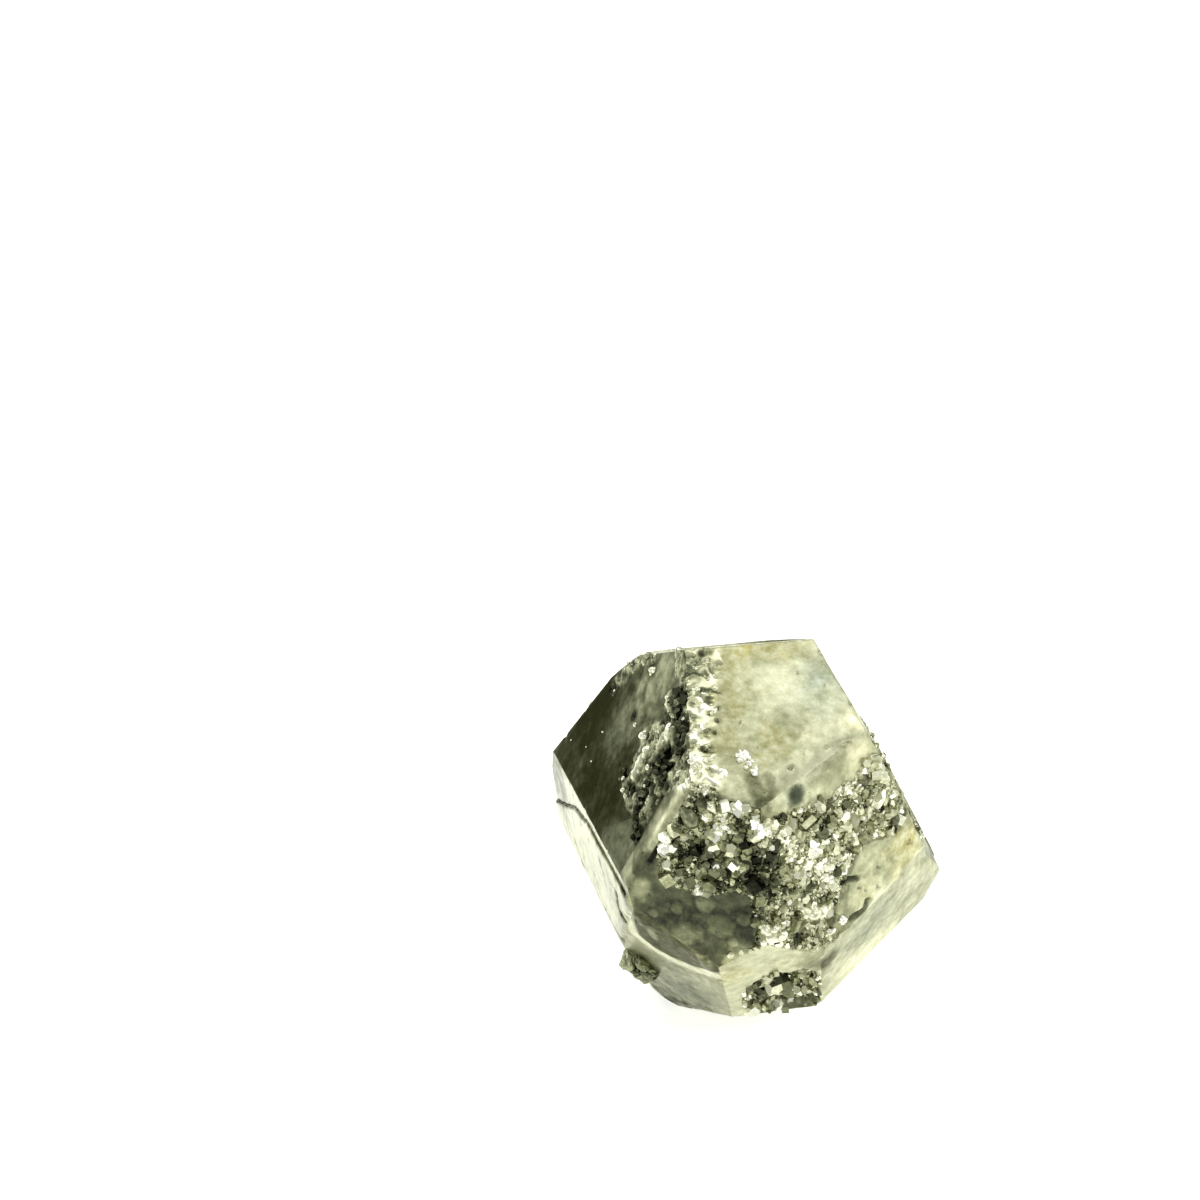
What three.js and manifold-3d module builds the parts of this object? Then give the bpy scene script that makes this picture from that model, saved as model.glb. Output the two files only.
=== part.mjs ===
// A loose crystal of pyrite, 40 mm across, lying on one of its own faces. It is a pyritohedron, the
// twelve-faced habit of the mineral, grown uneven and cut at its corners by smaller faces. A belt of small
// crystals has grown over its front, a lumpy crust runs up its upper left edge, a shallow pit lined with
// crystals opens low on the front, and a dark nodule hangs on its left foot. All of it is one solid.
// Millimetres, +Z up. The origin is on the surface that the crystal rests on, under the middle of its box.
import * as THREE from 'three';
import { ConvexGeometry } from 'three/addons/geometries/ConvexGeometry.js';
import { mergeVertices } from 'three/addons/utils/BufferGeometryUtils.js';
import Module from 'manifold-3d';

const wasm = await Module();
wasm.setup();

// Driving dimensions. Every face is measured from the heart, the point that the crystal grew from:
// [bearing of its outward normal in degrees from +X, tilt of the normal above level, distance in mm].
const heart = new THREE.Vector3(-0.2, -2.4, 18.5);
const faces = {
  top: [-64, 86, 18.75],
  left: [182, 27.5, 14.25],
  front: [-106.5, 23, 17.4],
  frontRight: [-49, 21.5, 14.75],
  right: [20, 22.5, 14.8],
  back: [96.5, 41, 17.75],
  leftFlank: [-162.5, -4, 14.4],
  frontLeftFoot: [-123.5, -16, 15.3],
  frontFoot: [-77.5, -11.5, 15.7],
  frontRightFoot: [-45.5, -5, 15.1],
  backLeft: [129, 18, 20.1],
  backLeftCorner: [138, 32.5, 19.6],
  backFoot: [70, -22.5, 17.6],
  rightUnder: [-0.5, -20, 20.6],
  frontRightUnder: [-38.5, -38, 18.1],
  frontUnder: [-84, -41, 18.15],
  leftUnder: [-155.5, -19.5, 16.15],
  frontLeftUnder: [-143.5, -29, 18.3],
  backLeftFoot: [131, -12, 26.6],
  rest: [0, -90, heart.z],
};
const edgeWear = 0.15;
const stepHeight = 0.35;
const sunk = 0.6;

// A run of seeded random numbers from 0 to 1, the same on every run.
let seed = 20417;
function random() {
  seed = (seed * 16807) % 2147483647;
  return seed / 2147483647;
}
const between = (low, high) => low + (high - low) * random();

function normalOf([bearing, tilt]) {
  const b = THREE.MathUtils.degToRad(bearing);
  const t = THREE.MathUtils.degToRad(tilt);
  return new THREE.Vector3(Math.cos(b) * Math.cos(t), Math.sin(b) * Math.cos(t), Math.sin(t));
}

// The corners of the convex body that a list of planes { normal, distance } leaves around the heart.
function cornersOf(planes) {
  const corners = [];
  const cross = new THREE.Vector3();
  for (let i = 0; i < planes.length; i++) {
    for (let j = i + 1; j < planes.length; j++) {
      for (let k = j + 1; k < planes.length; k++) {
        const [a, b, c] = [planes[i], planes[j], planes[k]];
        const volume = a.normal.dot(cross.crossVectors(b.normal, c.normal));
        if (Math.abs(volume) < 1e-4) continue;
        const corner = new THREE.Vector3()
          .addScaledVector(new THREE.Vector3().crossVectors(b.normal, c.normal), a.distance / volume)
          .addScaledVector(new THREE.Vector3().crossVectors(c.normal, a.normal), b.distance / volume)
          .addScaledVector(new THREE.Vector3().crossVectors(a.normal, b.normal), c.distance / volume);
        const outside = planes.some((p) => p.normal.dot(corner) > p.distance + 1e-6);
        const known = corners.some((known) => known.distanceTo(corner) < 0.02);
        if (!outside && !known) corners.push(corner);
      }
    }
  }
  return corners;
}

// One more plane along every edge, so that the edges are worn by the given amount.
function wornPlanes(planes, wear) {
  const corners = cornersOf(planes);
  const touches = (p) => corners.filter((c) => Math.abs(p.normal.dot(c) - p.distance) < 1e-3);
  const worn = [...planes];
  for (let i = 0; i < planes.length; i++) {
    for (let j = i + 1; j < planes.length; j++) {
      const shared = touches(planes[i]).filter((c) => touches(planes[j]).includes(c));
      if (shared.length < 2) continue;
      const normal = planes[i].normal.clone().add(planes[j].normal).normalize();
      worn.push({ normal, distance: normal.dot(shared[0]) - wear });
    }
  }
  return worn;
}

// The whole crystal with some of its faces moved out or in by the amounts in moved.
function crystalPlanes(moved = {}) {
  return Object.entries(faces).map(([name, face]) => (
    { normal: normalOf(face), distance: face[2] + (moved[name] ?? moved.others ?? 0) }
  ));
}

function toSolid(geometry) {
  const bare = geometry.clone();
  bare.deleteAttribute('normal');
  bare.deleteAttribute('uv');
  const merged = mergeVertices(bare, 1e-4);
  return new wasm.Manifold(new wasm.Mesh({
    numProp: 3,
    vertProperties: new Float32Array(merged.attributes.position.array),
    triVerts: new Uint32Array(merged.index.array),
  }));
}

const crystalBody = (planes) => toSolid(new ConvexGeometry(cornersOf(planes)));

// A face's own frame: u runs level along it, v up it and n out of it, from the foot of the heart on it.
function faceFrame(name) {
  const n = normalOf(faces[name]);
  const u = new THREE.Vector3(0, 0, 1).cross(n).normalize();
  const v = new THREE.Vector3().crossVectors(n, u);
  const foot = n.clone().multiplyScalar(faces[name][2]);
  return new THREE.Matrix4().makeBasis(u, v, n).setPosition(foot);
}

function inside(outline, u, v) {
  let within = false;
  outline.forEach(([u1, v1], i) => {
    const [u2, v2] = outline[(i + 1) % outline.length];
    if ((v1 > v) !== (v2 > v) && u < ((u2 - u1) * (v - v1)) / (v2 - v1) + u1) within = !within;
  });
  return within;
}

// Whether a point on a face is really on the crystal, at least the margin in from its edges.
function onCrystal(face, u, v, margin) {
  const point = new THREE.Vector3(u, v, 0).applyMatrix4(faceFrame(face));
  return Object.keys(faces).every((name) => (
    name === face || normalOf(faces[name]).dot(point) < faces[name][2] - margin
  ));
}

// Points spread at random over an outline on a face, no two nearer than the spacing.
function scatter(face, outline, count, spacing) {
  const us = outline.map(([u]) => u);
  const vs = outline.map(([, v]) => v);
  const spots = [];
  for (let attempt = 0; attempt < count * 60 && spots.length < count; attempt++) {
    const u = between(Math.min(...us), Math.max(...us));
    const v = between(Math.min(...vs), Math.max(...vs));
    const clear = spots.every(([su, sv]) => Math.hypot(su - u, sv - v) > spacing);
    if (clear && inside(outline, u, v) && onCrystal(face, u, v, 0.25)) spots.push([u, v]);
  }
  return spots;
}

// A shape turned at random and set on a face at (u, v), its middle at the given height above the face.
function setOn(face, geometry, [u, v], height, spin = Math.PI) {
  const turn = new THREE.Euler(between(-spin, spin), between(-spin, spin), between(-spin, spin));
  const placed = geometry.clone().applyMatrix4(new THREE.Matrix4().makeRotationFromEuler(turn));
  placed.translate(u, v, height);
  placed.applyMatrix4(faceFrame(face));
  return toSolid(placed);
}

// The habits of the small crystals: cube, octahedron and twelve-faced.
const habits = [
  (size) => new THREE.BoxGeometry(size, size, size * 0.9),
  (size) => new THREE.BoxGeometry(size, size * 0.8, size * 1.2),
  (size) => new THREE.OctahedronGeometry(size * 0.75),
  (size) => new THREE.DodecahedronGeometry(size * 0.62),
];

function druse(face, outline, count, [small, large], spacing) {
  return scatter(face, outline, count, spacing).map((spot) => {
    const size = small + (large - small) * random() ** 2;
    const habit = habits[Math.floor(random() * habits.length)];
    return setOn(face, habit(size), spot, between(-0.42, -0.16) * size);
  });
}

// Rounded lumps: small balls of flat facets, flattened and sunk in the face.
function lumps(face, outline, count, [small, large], spacing) {
  return scatter(face, outline, count, spacing).map((spot) => {
    const size = between(small, large);
    const lump = new THREE.IcosahedronGeometry(size, 0).scale(1, between(0.6, 1), between(0.6, 0.9));
    return setOn(face, lump, spot, -0.25 * size);
  });
}

// A growth step: a plate with an angular outline that stands proud of its face, and ends where the
// neighbouring faces cut the crystal off.
function growthStep(face, outline, height = stepHeight) {
  const shape = new THREE.Shape(outline.map(([u, v]) => new THREE.Vector2(u, v)));
  const plate = new THREE.ExtrudeGeometry(shape, { depth: height + sunk, bevelEnabled: false });
  plate.translate(0, 0, -sunk);
  plate.applyMatrix4(faceFrame(face));
  return toSolid(plate).intersect(crystalBody(crystalPlanes({ others: -0.2, [face]: 1 })));
}

const host = crystalBody(wornPlanes(crystalPlanes(), edgeWear));

// Growth steps on the broad faces. They are cut off where they would pass the crystal's own edges.
const steps = wasm.Manifold.union([
  growthStep('left', [[-14, -8], [2.3, -3.4], [4.7, 1.5], [9.2, 4], [8, 9], [4, 7.6], [-3, 3.4], [-14, 1]], 0.2),
  growthStep('leftFlank', [[-24, -20], [12, -20], [8.6, 9.4], [1.7, 5.7], [-5.6, 1.7], [-6.3, 0.3],
    [-9.6, -2.3], [-24, -15]], 0.3),
  growthStep('frontRight', [[-2, -4.3], [-0.6, 0.5], [1.1, 2.7], [3.4, 2.6], [6.1, 1.7], [7.9, 2.8], [14, 2],
    [14, -12], [-2, -12]], 0.2),
  growthStep('top', [[1, 12], [-2, 3.6], [-6, -2], [-5, -5.5], [2, -8], [12, -4], [12, 12]], 0.15),
  growthStep('back', [[-11, -4], [-3, 3.4], [6, 3], [10, -6], [3, -11], [-7, -10]]),
  growthStep('backFoot', [[-15, -12], [-12, 4], [-1, 7], [5, 1], [12, 3], [14, -12]]),
  growthStep('backFoot', [[-9, -12], [-6, 1], [-1, 2.4], [3, -12]], 2 * stepHeight),
  growthStep('right', [[-6, -14], [-4, 2], [3, 6], [10, 1], [13, -14]]),
  growthStep('right', [[-1, -14], [0, -2], [4, 1], [9, -4], [10, -14]], 2 * stepHeight),
]);

// The druse belt over the front, and smaller patches on the sides that the front view doesn't show.
const beltFront = [[-4.6, 10.6], [-3.2, 12.4], [1.9, 11.3], [3.2, 10.8], [3.9, 8.3], [4.8, 3.5], [2, 3.5],
  [-1.7, 2.6], [-3.6, 3.1], [-4.8, 4.6], [-5.2, 7]];
const beltFrontLow = [[3.6, 3.6], [5, 3.4], [5.6, -1.2], [4.9, -1.4], [4, 1.7]];
const beltRight = [[-7.2, 11.4], [-5.9, 11.4], [-2.4, 10.6], [-0.1, 10], [4, 10.2], [5.4, 10.6], [8, 4.1],
  [7.9, 2.8], [6.1, 1.7], [3.4, 2.6], [1.1, 2.7], [-0.6, 0.5], [-1.2, -0.8], [-2.8, -1.8], [-3.4, -5.2],
  [-7.2, -2.8], [-9.8, -0.9]];
const grown = [
  ...druse('front', beltFront, 42, [1.2, 2.7], 1.05),
  ...druse('front', beltFrontLow, 4, [1, 1.6], 1),
  ...druse('frontRight', beltRight, 74, [1.2, 2.6], 1.15),
  ...druse('front', [[5.2, -2.7], [6.4, -2.4], [6.4, -0.4], [5.4, -0.2]], 3, [1.4, 2], 0.8),
  ...druse('right', [[-12, 4], [-8, 12], [-3, 12], [-5, 5], [-9, -3]], 12, [1.1, 2.2], 1.3),
  ...druse('back', [[4, 7], [11, 2], [8, -2], [2, 3]], 12, [1, 2.3], 1.4),
  ...druse('backFoot', [[-14, 8], [-6, 9], [-8, 5], [-13, 4]], 9, [1.1, 2.4], 1.4),
  ...druse('top', [[-4.5, -2.6], [-3.2, -2.6], [-3.2, -5.2], [-4.6, -5.2]], 4, [0.9, 1.4], 0.7),
];

// The crust of lumps along the edge between the top and the left face, with dark grains set in it.
const crust = [
  ...lumps('left', [[-3, 14], [7, 12.8], [7, 9.6], [3.6, 8.4], [-2.6, 11.4]], 22, [0.6, 1.1], 1.05),
  ...lumps('top', [[-2.6, 8.6], [-0.8, 7], [-5, -0.6], [-6.6, -4.8], [-8.8, -4.6]], 14, [0.5, 1], 1.05),
  ...lumps('left', [[0, 4], [2.2, 2.4], [5.2, 4.8], [3.6, 7.8], [0.4, 6]], 10, [0.5, 0.9], 0.9),
  ...lumps('left', [[-12.4, 3.8], [-10, 6.4], [-8, 9.2], [-10, 4.6]], 4, [0.4, 0.8], 0.9),
  ...druse('left', [[-3.2, 13], [-0.8, 13.4], [-0.4, 11.6], [-2.6, 11.4]], 4, [1.2, 1.9], 0.8),
];

// The bright slanting ledge on the crust, and the raised rib between the left and front faces.
const ledge = new THREE.IcosahedronGeometry(0.65, 1).scale(1, 2.6, 1).rotateZ(-0.5);
ledge.translate(1.2, 9.2, 0.1).applyMatrix4(faceFrame('left'));
const rib = growthStep('left', [[8.4, 12], [7.5, 9.2], [10.2, 1], [13, 0.6]], 0.28);

// The nodule on the left foot: [u, v, height, size] of each of its lumps.
const nodule = [[-4.4, -7.6, 0.6, 1.8], [-2.9, -6.6, 0.5, 1.5], [-3.4, -10.4, 0.6, 1.9],
  [-4.9, -11.4, 0.3, 1.5], [-2.2, -8.8, 0.3, 1.4]].map(([u, v, height, size]) => (
  setOn('frontLeftFoot', new THREE.DodecahedronGeometry(size).scale(1, 0.9, 0.8), [u, v], height)
));

// The pit low on the front, and the crystals that line it.
const pit = [[-1.6, -5, 2], [1.8, -5, 2.6], [-0.4, -1.4, 1.8], [2, -2, 1.8]].map(([u, v, size]) => (
  setOn('frontFoot', new THREE.DodecahedronGeometry(size).scale(1, 1.15, 0.5), [u, v], 0, 0.2)
));
const pitOutline = [[-3, -5], [-2, -0.8], [1, -0.2], [3.4, -1.6], [4.2, -7], [0.4, -7.4]];
const pitLining = scatter('frontFoot', pitOutline, 16, 1.5).map((spot) => (
  setOn('frontFoot', habits[Math.floor(between(0, 3.99))](between(1.5, 2.5)), spot, -0.8)
));

// Small pits and nicks in the smooth faces.
const nicks = [
  ['left', [-5.5, 4.5], 0.5], ['left', [-12.6, 0.1], 0.35], ['left', [10, 3.4], 0.4],
  ['frontRight', [6.4, 2.5], 0.9], ['frontRight', [7.8, -0.4], 0.6], ['frontRight', [0.7, -3.7], 0.7],
  ['frontRight', [2.8, -2.4], 0.5], ['top', [-0.7, -6.4], 0.35], ['top', [-6.6, -1.4], 0.4],
  ['leftFlank', [-4, -6], 0.6], ['frontLeftFoot', [4, -9], 0.7], ['frontRightFoot', [-1, -3], 0.5],
  ['back', [-2, -5], 0.8], ['backFoot', [6, -4], 1], ['backFoot', [-4, -6], 0.6], ['right', [5, 4], 0.8],
].map(([face, spot, size]) => (
  setOn(face, new THREE.OctahedronGeometry(size).scale(1, 0.7, 0.6), spot, 0, 0.5)
));

// The underside stays flat, so everything that grows is cut off at the resting face.
const body = wasm.Manifold.union([host, steps, rib])
  .subtract(wasm.Manifold.union([...pit, ...nicks]))
  .add(wasm.Manifold.union([...grown, ...crust, ...nodule, ...pitLining, toSolid(ledge)]));
const ground = new THREE.BoxGeometry(100, 100, 20).translate(0, 0, -heart.z - 10);
const shells = body.subtract(toSolid(ground)).decompose();

// The largest shell is the outside. The others would be crumbs, or voids sealed in behind small crystals.
const outside = shells.reduce((largest, shell) => (shell.volume() > largest.volume() ? shell : largest));
const surface = outside.getMesh();
const geometry = new THREE.BufferGeometry();
geometry.setAttribute('position', new THREE.BufferAttribute(surface.vertProperties, 3));
geometry.setIndex(new THREE.BufferAttribute(surface.triVerts, 1));
geometry.computeVertexNormals();

const pyrite = new THREE.MeshStandardMaterial({ color: 0xa9a681, roughness: 0.38, metalness: 0.85 });
pyrite.flatShading = true;
const crystal = new THREE.Mesh(geometry, pyrite);
crystal.name = 'pyrite_crystal';
crystal.position.copy(heart);

const group = new THREE.Group();
group.add(crystal);
export default group;
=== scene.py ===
import math

import bmesh
import bpy
import numpy as np
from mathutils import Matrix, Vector, noise
from mathutils.geometry import delaunay_2d_cdt
from mathutils.kdtree import KDTree


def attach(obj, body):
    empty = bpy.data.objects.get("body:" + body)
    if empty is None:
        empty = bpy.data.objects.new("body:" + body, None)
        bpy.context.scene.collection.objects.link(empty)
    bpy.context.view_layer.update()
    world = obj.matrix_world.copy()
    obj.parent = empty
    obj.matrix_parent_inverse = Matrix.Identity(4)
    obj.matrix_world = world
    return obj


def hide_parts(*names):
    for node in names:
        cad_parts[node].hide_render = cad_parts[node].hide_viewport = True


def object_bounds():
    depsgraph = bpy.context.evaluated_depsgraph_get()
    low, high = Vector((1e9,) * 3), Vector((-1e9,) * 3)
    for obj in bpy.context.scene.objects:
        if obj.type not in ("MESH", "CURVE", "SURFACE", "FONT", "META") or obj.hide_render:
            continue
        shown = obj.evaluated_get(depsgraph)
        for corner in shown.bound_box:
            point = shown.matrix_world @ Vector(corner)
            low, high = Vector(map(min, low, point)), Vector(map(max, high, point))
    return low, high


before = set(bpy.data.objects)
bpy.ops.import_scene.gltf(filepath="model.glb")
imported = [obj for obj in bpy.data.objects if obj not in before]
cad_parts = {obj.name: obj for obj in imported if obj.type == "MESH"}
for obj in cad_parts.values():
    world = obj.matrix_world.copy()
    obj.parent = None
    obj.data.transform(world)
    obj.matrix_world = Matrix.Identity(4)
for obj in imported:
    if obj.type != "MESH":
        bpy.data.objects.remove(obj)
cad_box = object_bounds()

# The view. The camera looks down on the loose crystal from in front, through a lens a little longer
# than normal, and the stone lies right of the middle of the picture and below it.
MM = 0.001
HEART = np.array((-0.2, -2.4, 18.5))
look_down = math.radians(46)
lens_mm = 57
heart_depth, heart_aside, heart_below = 186.27, 14.12, 22.35

ahead = np.array((0, math.cos(look_down), -math.sin(look_down)))
upward = np.array((0, math.sin(look_down), math.cos(look_down)))
stand = HEART - heart_depth * ahead - (heart_aside, 0, 0) + heart_below * upward
camera = bpy.data.objects.new("camera", bpy.data.cameras.new("camera"))
camera.data.lens = lens_mm
camera.data.sensor_width = 36
camera.data.clip_start = 0.01
camera.location = stand * MM
camera.rotation_euler = (math.radians(90) - look_down, 0, 0)
bpy.context.collection.objects.link(camera)
bpy.context.scene.camera = camera

# The studio. A pale room, and large soft boxes: the key high behind the stone, where the flat top
# mirrors it, a broad one at the right, and weak ones that light the front.


def linear(shade):
    """An sRGB hex colour as linear red, green, blue and alpha."""
    parts = [int(shade[i : i + 2], 16) / 255 for i in (1, 3, 5)]
    return (*(c / 12.92 if c <= 0.04045 else ((c + 0.055) / 1.055) ** 2.4 for c in parts), 1)


view = bpy.context.scene.view_settings
view.view_transform = "Standard"
view.look = "None"
room = bpy.data.worlds.new("pale_room")
room.use_nodes = True
room.node_tree.nodes["Background"].inputs["Color"].default_value = linear("#F7F9F4")
room.node_tree.nodes["Background"].inputs["Strength"].default_value = 0.62
bpy.context.scene.world = room

# Each soft box: its place and its size in millimetres, and its power in watts.
soft_boxes = {
    "key_behind": ((0, 300, 430), (760, 560), 1.35),
    "broad_right": ((430, -40, 230), (360, 360), 0.5),
    "small_left": ((-210, 180, 330), (60, 60), 0.14),
    "small_right": ((190, -160, 380), (50, 50), 0.12),
    "front_high": ((-60, -420, 300), (220, 160), 0.3),
}
for name, (place, size, watts) in soft_boxes.items():
    light = bpy.data.lights.new(name, "AREA")
    light.shape = "RECTANGLE"
    light.size, light.size_y = size[0] * MM, size[1] * MM
    light.energy = watts
    box = bpy.data.objects.new(name, light)
    box.location = np.array(place) * MM
    box.rotation_euler = (Vector(HEART) - Vector(place)).to_track_quat("-Z", "Y").to_euler()
    bpy.context.collection.objects.link(box)

# The floor. A wide sheet of opal acrylic lit from below, as a product table has, so that the ground
# stays white right up to the stone and lights its undercut sides.


def add(tree, kind, inputs, out=0, stops=(), **settings):
    """Adds a node and gives one of its outputs. Inputs are values or other outputs, linked."""
    made = tree.nodes.new("ShaderNode" + kind)
    for name, value in settings.items():
        setattr(made, name, value)
    for name, value in inputs.items():
        if isinstance(value, bpy.types.NodeSocket):
            tree.links.new(value, made.inputs[name])
        else:
            made.inputs[name].default_value = value
    for k, (place, shade) in enumerate(stops):
        ramp = made.color_ramp.elements
        stop = ramp[k] if k < len(ramp) else ramp.new(place)
        stop.position, stop.color = place, linear(shade)
    return made.outputs[out]


def new_material(name):
    """An empty material, with its node tree and its surface shader."""
    material = bpy.data.materials.new(name)
    material.use_nodes = True
    return material, material.node_tree, material.node_tree.nodes["Principled BSDF"]


acrylic, tree, surface = new_material("opal_acrylic_sheet")
surface.inputs["Roughness"].default_value = 0.6
surface.inputs["Emission Color"].default_value = linear("#FFFFFA")
surface.inputs["Emission Strength"].default_value = 0.62
haze = add(tree, "TexNoise", {"Scale": 900.0, "Detail": 3.0})
shade = add(tree, "ValToRGB", {"Fac": haze}, stops=((0, "#F1F2EC"), (1, "#F8F8F3")))
tree.links.new(shade, surface.inputs["Base Color"])

floor_reach = 1.6
floor_mesh = bpy.data.meshes.new("floor")
sides = [(math.cos(a) * floor_reach, math.sin(a) * floor_reach, -0.00003)
         for a in np.linspace(0, 2 * math.pi, 64, endpoint=False)]
floor_mesh.from_pydata(sides, [], [range(64)])
floor = bpy.data.objects.new("floor", floor_mesh)
floor_mesh.materials.append(acrylic)
bpy.context.collection.objects.link(floor)


# The crystal. Pyrite, grown as one piece: an uneven pyritohedron whose corners smaller faces cut off.
# Each face is given by the bearing and the tilt of its normal in degrees, and by its distance in
# millimetres from the heart, the point that the crystal grew from.
FACES = {
    "top": (-64, 86, 18.75),
    "left": (182, 27.5, 14.25),
    "front": (-106.5, 23, 17.4),
    "frontRight": (-49, 21.5, 14.75),
    "right": (20, 22.5, 14.8),
    "back": (96.5, 41, 17.75),
    "leftFlank": (-162.5, -4, 14.4),
    "frontLeftFoot": (-123.5, -16, 15.3),
    "frontFoot": (-77.5, -11.5, 15.7),
    "frontRightFoot": (-45.5, -5, 15.1),
    "backLeft": (129, 18, 20.1),
    "backLeftCorner": (138, 32.5, 19.6),
    "backFoot": (70, -22.5, 17.6),
    "rightUnder": (-0.5, -20, 20.6),
    "frontRightUnder": (-38.5, -38, 18.1),
    "frontUnder": (-84, -41, 18.15),
    "leftUnder": (-155.5, -19.5, 16.15),
    "frontLeftUnder": (-143.5, -29, 18.3),
    "backLeftFoot": (131, -12, 26.6),
    "rest": (0, -90, 18.5),
}
names = list(FACES)


def unit(vectors):
    """Vectors brought to a length of 1."""
    return vectors / np.linalg.norm(vectors, axis=-1, keepdims=True)


def facing(bearing, tilt):
    """The direction of a bearing and a tilt in degrees."""
    b, t = math.radians(bearing), math.radians(tilt)
    return np.array((math.cos(b) * math.cos(t), math.sin(b) * math.cos(t), math.sin(t)))


def level_and_up(normal):
    """The level direction along a face, and the direction up it."""
    level = np.cross((0, 0, 1), normal)
    level = unit(level) if np.linalg.norm(level) > 1e-6 else np.array((1.0, 0, 0))
    return level, np.cross(normal, level)


def corners_of(i, normals, reach):
    """The corners of plane i where the other planes cut it, in order, in its own level and up."""
    level, up = level_and_up(normals[i])
    foot = normals[i] * reach[i]
    far = 4 * max(reach)
    ring = [np.array(c, float) for c in ((-far, -far), (far, -far), (far, far), (-far, far))]
    for j in range(len(normals)):
        if j == i:
            continue
        slope = np.array((normals[j] @ level, normals[j] @ up))
        room_left = reach[j] - normals[j] @ foot
        kept = []
        for a, b in zip(ring, ring[1:] + ring[:1]):
            inside_a, inside_b = slope @ a <= room_left, slope @ b <= room_left
            if inside_a:
                kept.append(a)
            if inside_a != inside_b:
                kept.append(a + (b - a) * (room_left - slope @ a) / (slope @ (b - a)))
        ring = kept
        if len(ring) < 3:
            return []
    return [c for k, c in enumerate(ring) if np.linalg.norm(c - ring[k - 1]) > 1e-4]


normals = np.array([facing(b, t) for b, t, _ in FACES.values()])
reach = np.array([d for _, _, d in FACES.values()])
axes = {name: level_and_up(normals[i]) for i, name in enumerate(names)}


def to_space(name, spots):
    """Points (level, up) of a face, in millimetres from the heart."""
    i = names.index(name)
    level, up = axes[name]
    return normals[i] * reach[i] + np.outer(spots[:, 0], level) + np.outer(spots[:, 1], up)


def fractal(points, size, octaves=3, shift=0.0):
    """Smooth noise from about -1 to 1, whose largest waves are of the given size in millimetres."""
    return np.array([noise.fractal(Vector(p / size + shift), 0.8, 2.1, octaves) for p in points])


def ragged(outline, reach_out, spacing=0.35, closed=True, shift=0.0):
    """An outline broken up into short sides that wander, as the edge of a growth step does."""
    corners = [np.array(c, float) for c in outline]
    ends = corners[1:] + corners[:1] if closed else corners[1:]
    line = []
    for a, b in zip(corners, ends):
        count = max(1, round(np.linalg.norm(b - a) / spacing))
        line += [a + (b - a) * k / count for k in range(count)]
    if not closed:
        line.append(corners[-1])
    line = np.array(line)
    flat = np.column_stack((line, np.full(len(line), shift)))
    wander = np.column_stack((fractal(flat, 1.7, 3, 3.1), fractal(flat, 1.7, 3, 17.7)))
    return line + wander * reach_out


def distance_in(outline, spots):
    """How far spots lie inside a closed outline, less than nothing outside it."""
    a = np.array(outline, float)
    b = np.roll(a, -1, axis=0)
    along, away = (b - a)[None], spots[:, None] - a[None]
    length = (along**2).sum(-1)
    share = np.clip((away * along).sum(-1) / np.where(length > 0, length, 1), 0, 1)
    nearest = np.sqrt(((away - along * share[..., None]) ** 2).sum(-1)).min(1)
    x, y = spots[:, :1], spots[:, 1:]
    crossing = (a[:, 1] > y) != (b[:, 1] > y)
    rise = np.where(b[:, 1] == a[:, 1], 1, b[:, 1] - a[:, 1])
    left_of = x < (b[:, 0] - a[:, 0]) * (y - a[:, 1]) / rise + a[:, 0]
    return np.where((crossing & left_of).sum(1) % 2 == 1, nearest, -nearest)


def distance_to(line, spots):
    """How far spots lie from an open line."""
    a, b = line[:-1], line[1:]
    along, away = (b - a)[None], spots[:, None] - a[None]
    share = np.clip((away * along).sum(-1) / (along**2).sum(-1), 0, 1)
    return np.sqrt(((away - along * share[..., None]) ** 2).sum(-1)).min(1)


def smooth(low, high, x):
    """Rises softly from 0 at the low value to 1 at the high one."""
    t = np.clip((x - low) / (high - low), 0, 1)
    return t * t * (3 - 2 * t)


# The crack that runs down the left flank, along which a thin plate ends.
crack = [(-19.8, -13.7), (-15.4, -8.9), (-10.1, -2.8), (-6.2, 0.1), (-5.2, 1.1), (-2, 2.6), (3, 4.9),
         (8, 7.1)]
# Growth steps, in millimetres of each face's level and up, as everything on the faces is: the face, the
# outline, how far the step stands out and what it adds to the tarnish.
steps = [
    ("left", [(12.5, -9), (2.6, -2.9), (4.1, 0.2), (5.6, 3.3), (8.7, 3.4), (14, 2.6)], 0.06, -0.11),
    ("left", [(8.4, 12.6), (7.5, 9.2), (10.2, 0.6), (16, 0.2), (16, 13)], 0.28, 0),
    ("leftFlank", [(-24, -20), (12, -20), (11, 8.4), *crack[::-1], (-24, -18)], 0.2, 0),
    ("frontRight", [(-2, -4.3), (-0.6, 0.5), (1.1, 2.7), (3.4, 2.6), (6.1, 1.7), (7.9, 2.8), (14, 2),
                    (14, -12), (-2, -12)], 0.2, 0),
    ("back", [(-11, -4), (-3, 3.4), (6, 3), (10, -6), (3, -11), (-7, -10)], 0.3, 0.05),
    ("backFoot", [(-15, -14), (-12, 4), (-1, 7), (5, 1), (12, 3), (16, -14)], 0.3, -0.06),
    ("backFoot", [(-9, -14), (-6, 1), (-1, 2.4), (3, -14)], 0.3, 0.05),
    ("right", [(-6, -16), (-4, 2), (3, 6), (10, 1), (15, -16)], 0.3, -0.05),
    ("right", [(-1, -16), (0, -2), (4, 1), (9, -4), (10, -16)], 0.3, 0.06),
    ("frontLeftFoot", [(-1.7, 14), (-1.9, 9.6), (-2.1, 6.4), (-2.1, 3.6), (-0.7, 2.4), (1.4, 2.2),
                       (3.9, 3.3), (5.9, 4.7), (9, 7.4), (9, 14)], 0.04, 0.27),
]
line_wander = 0.08


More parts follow.
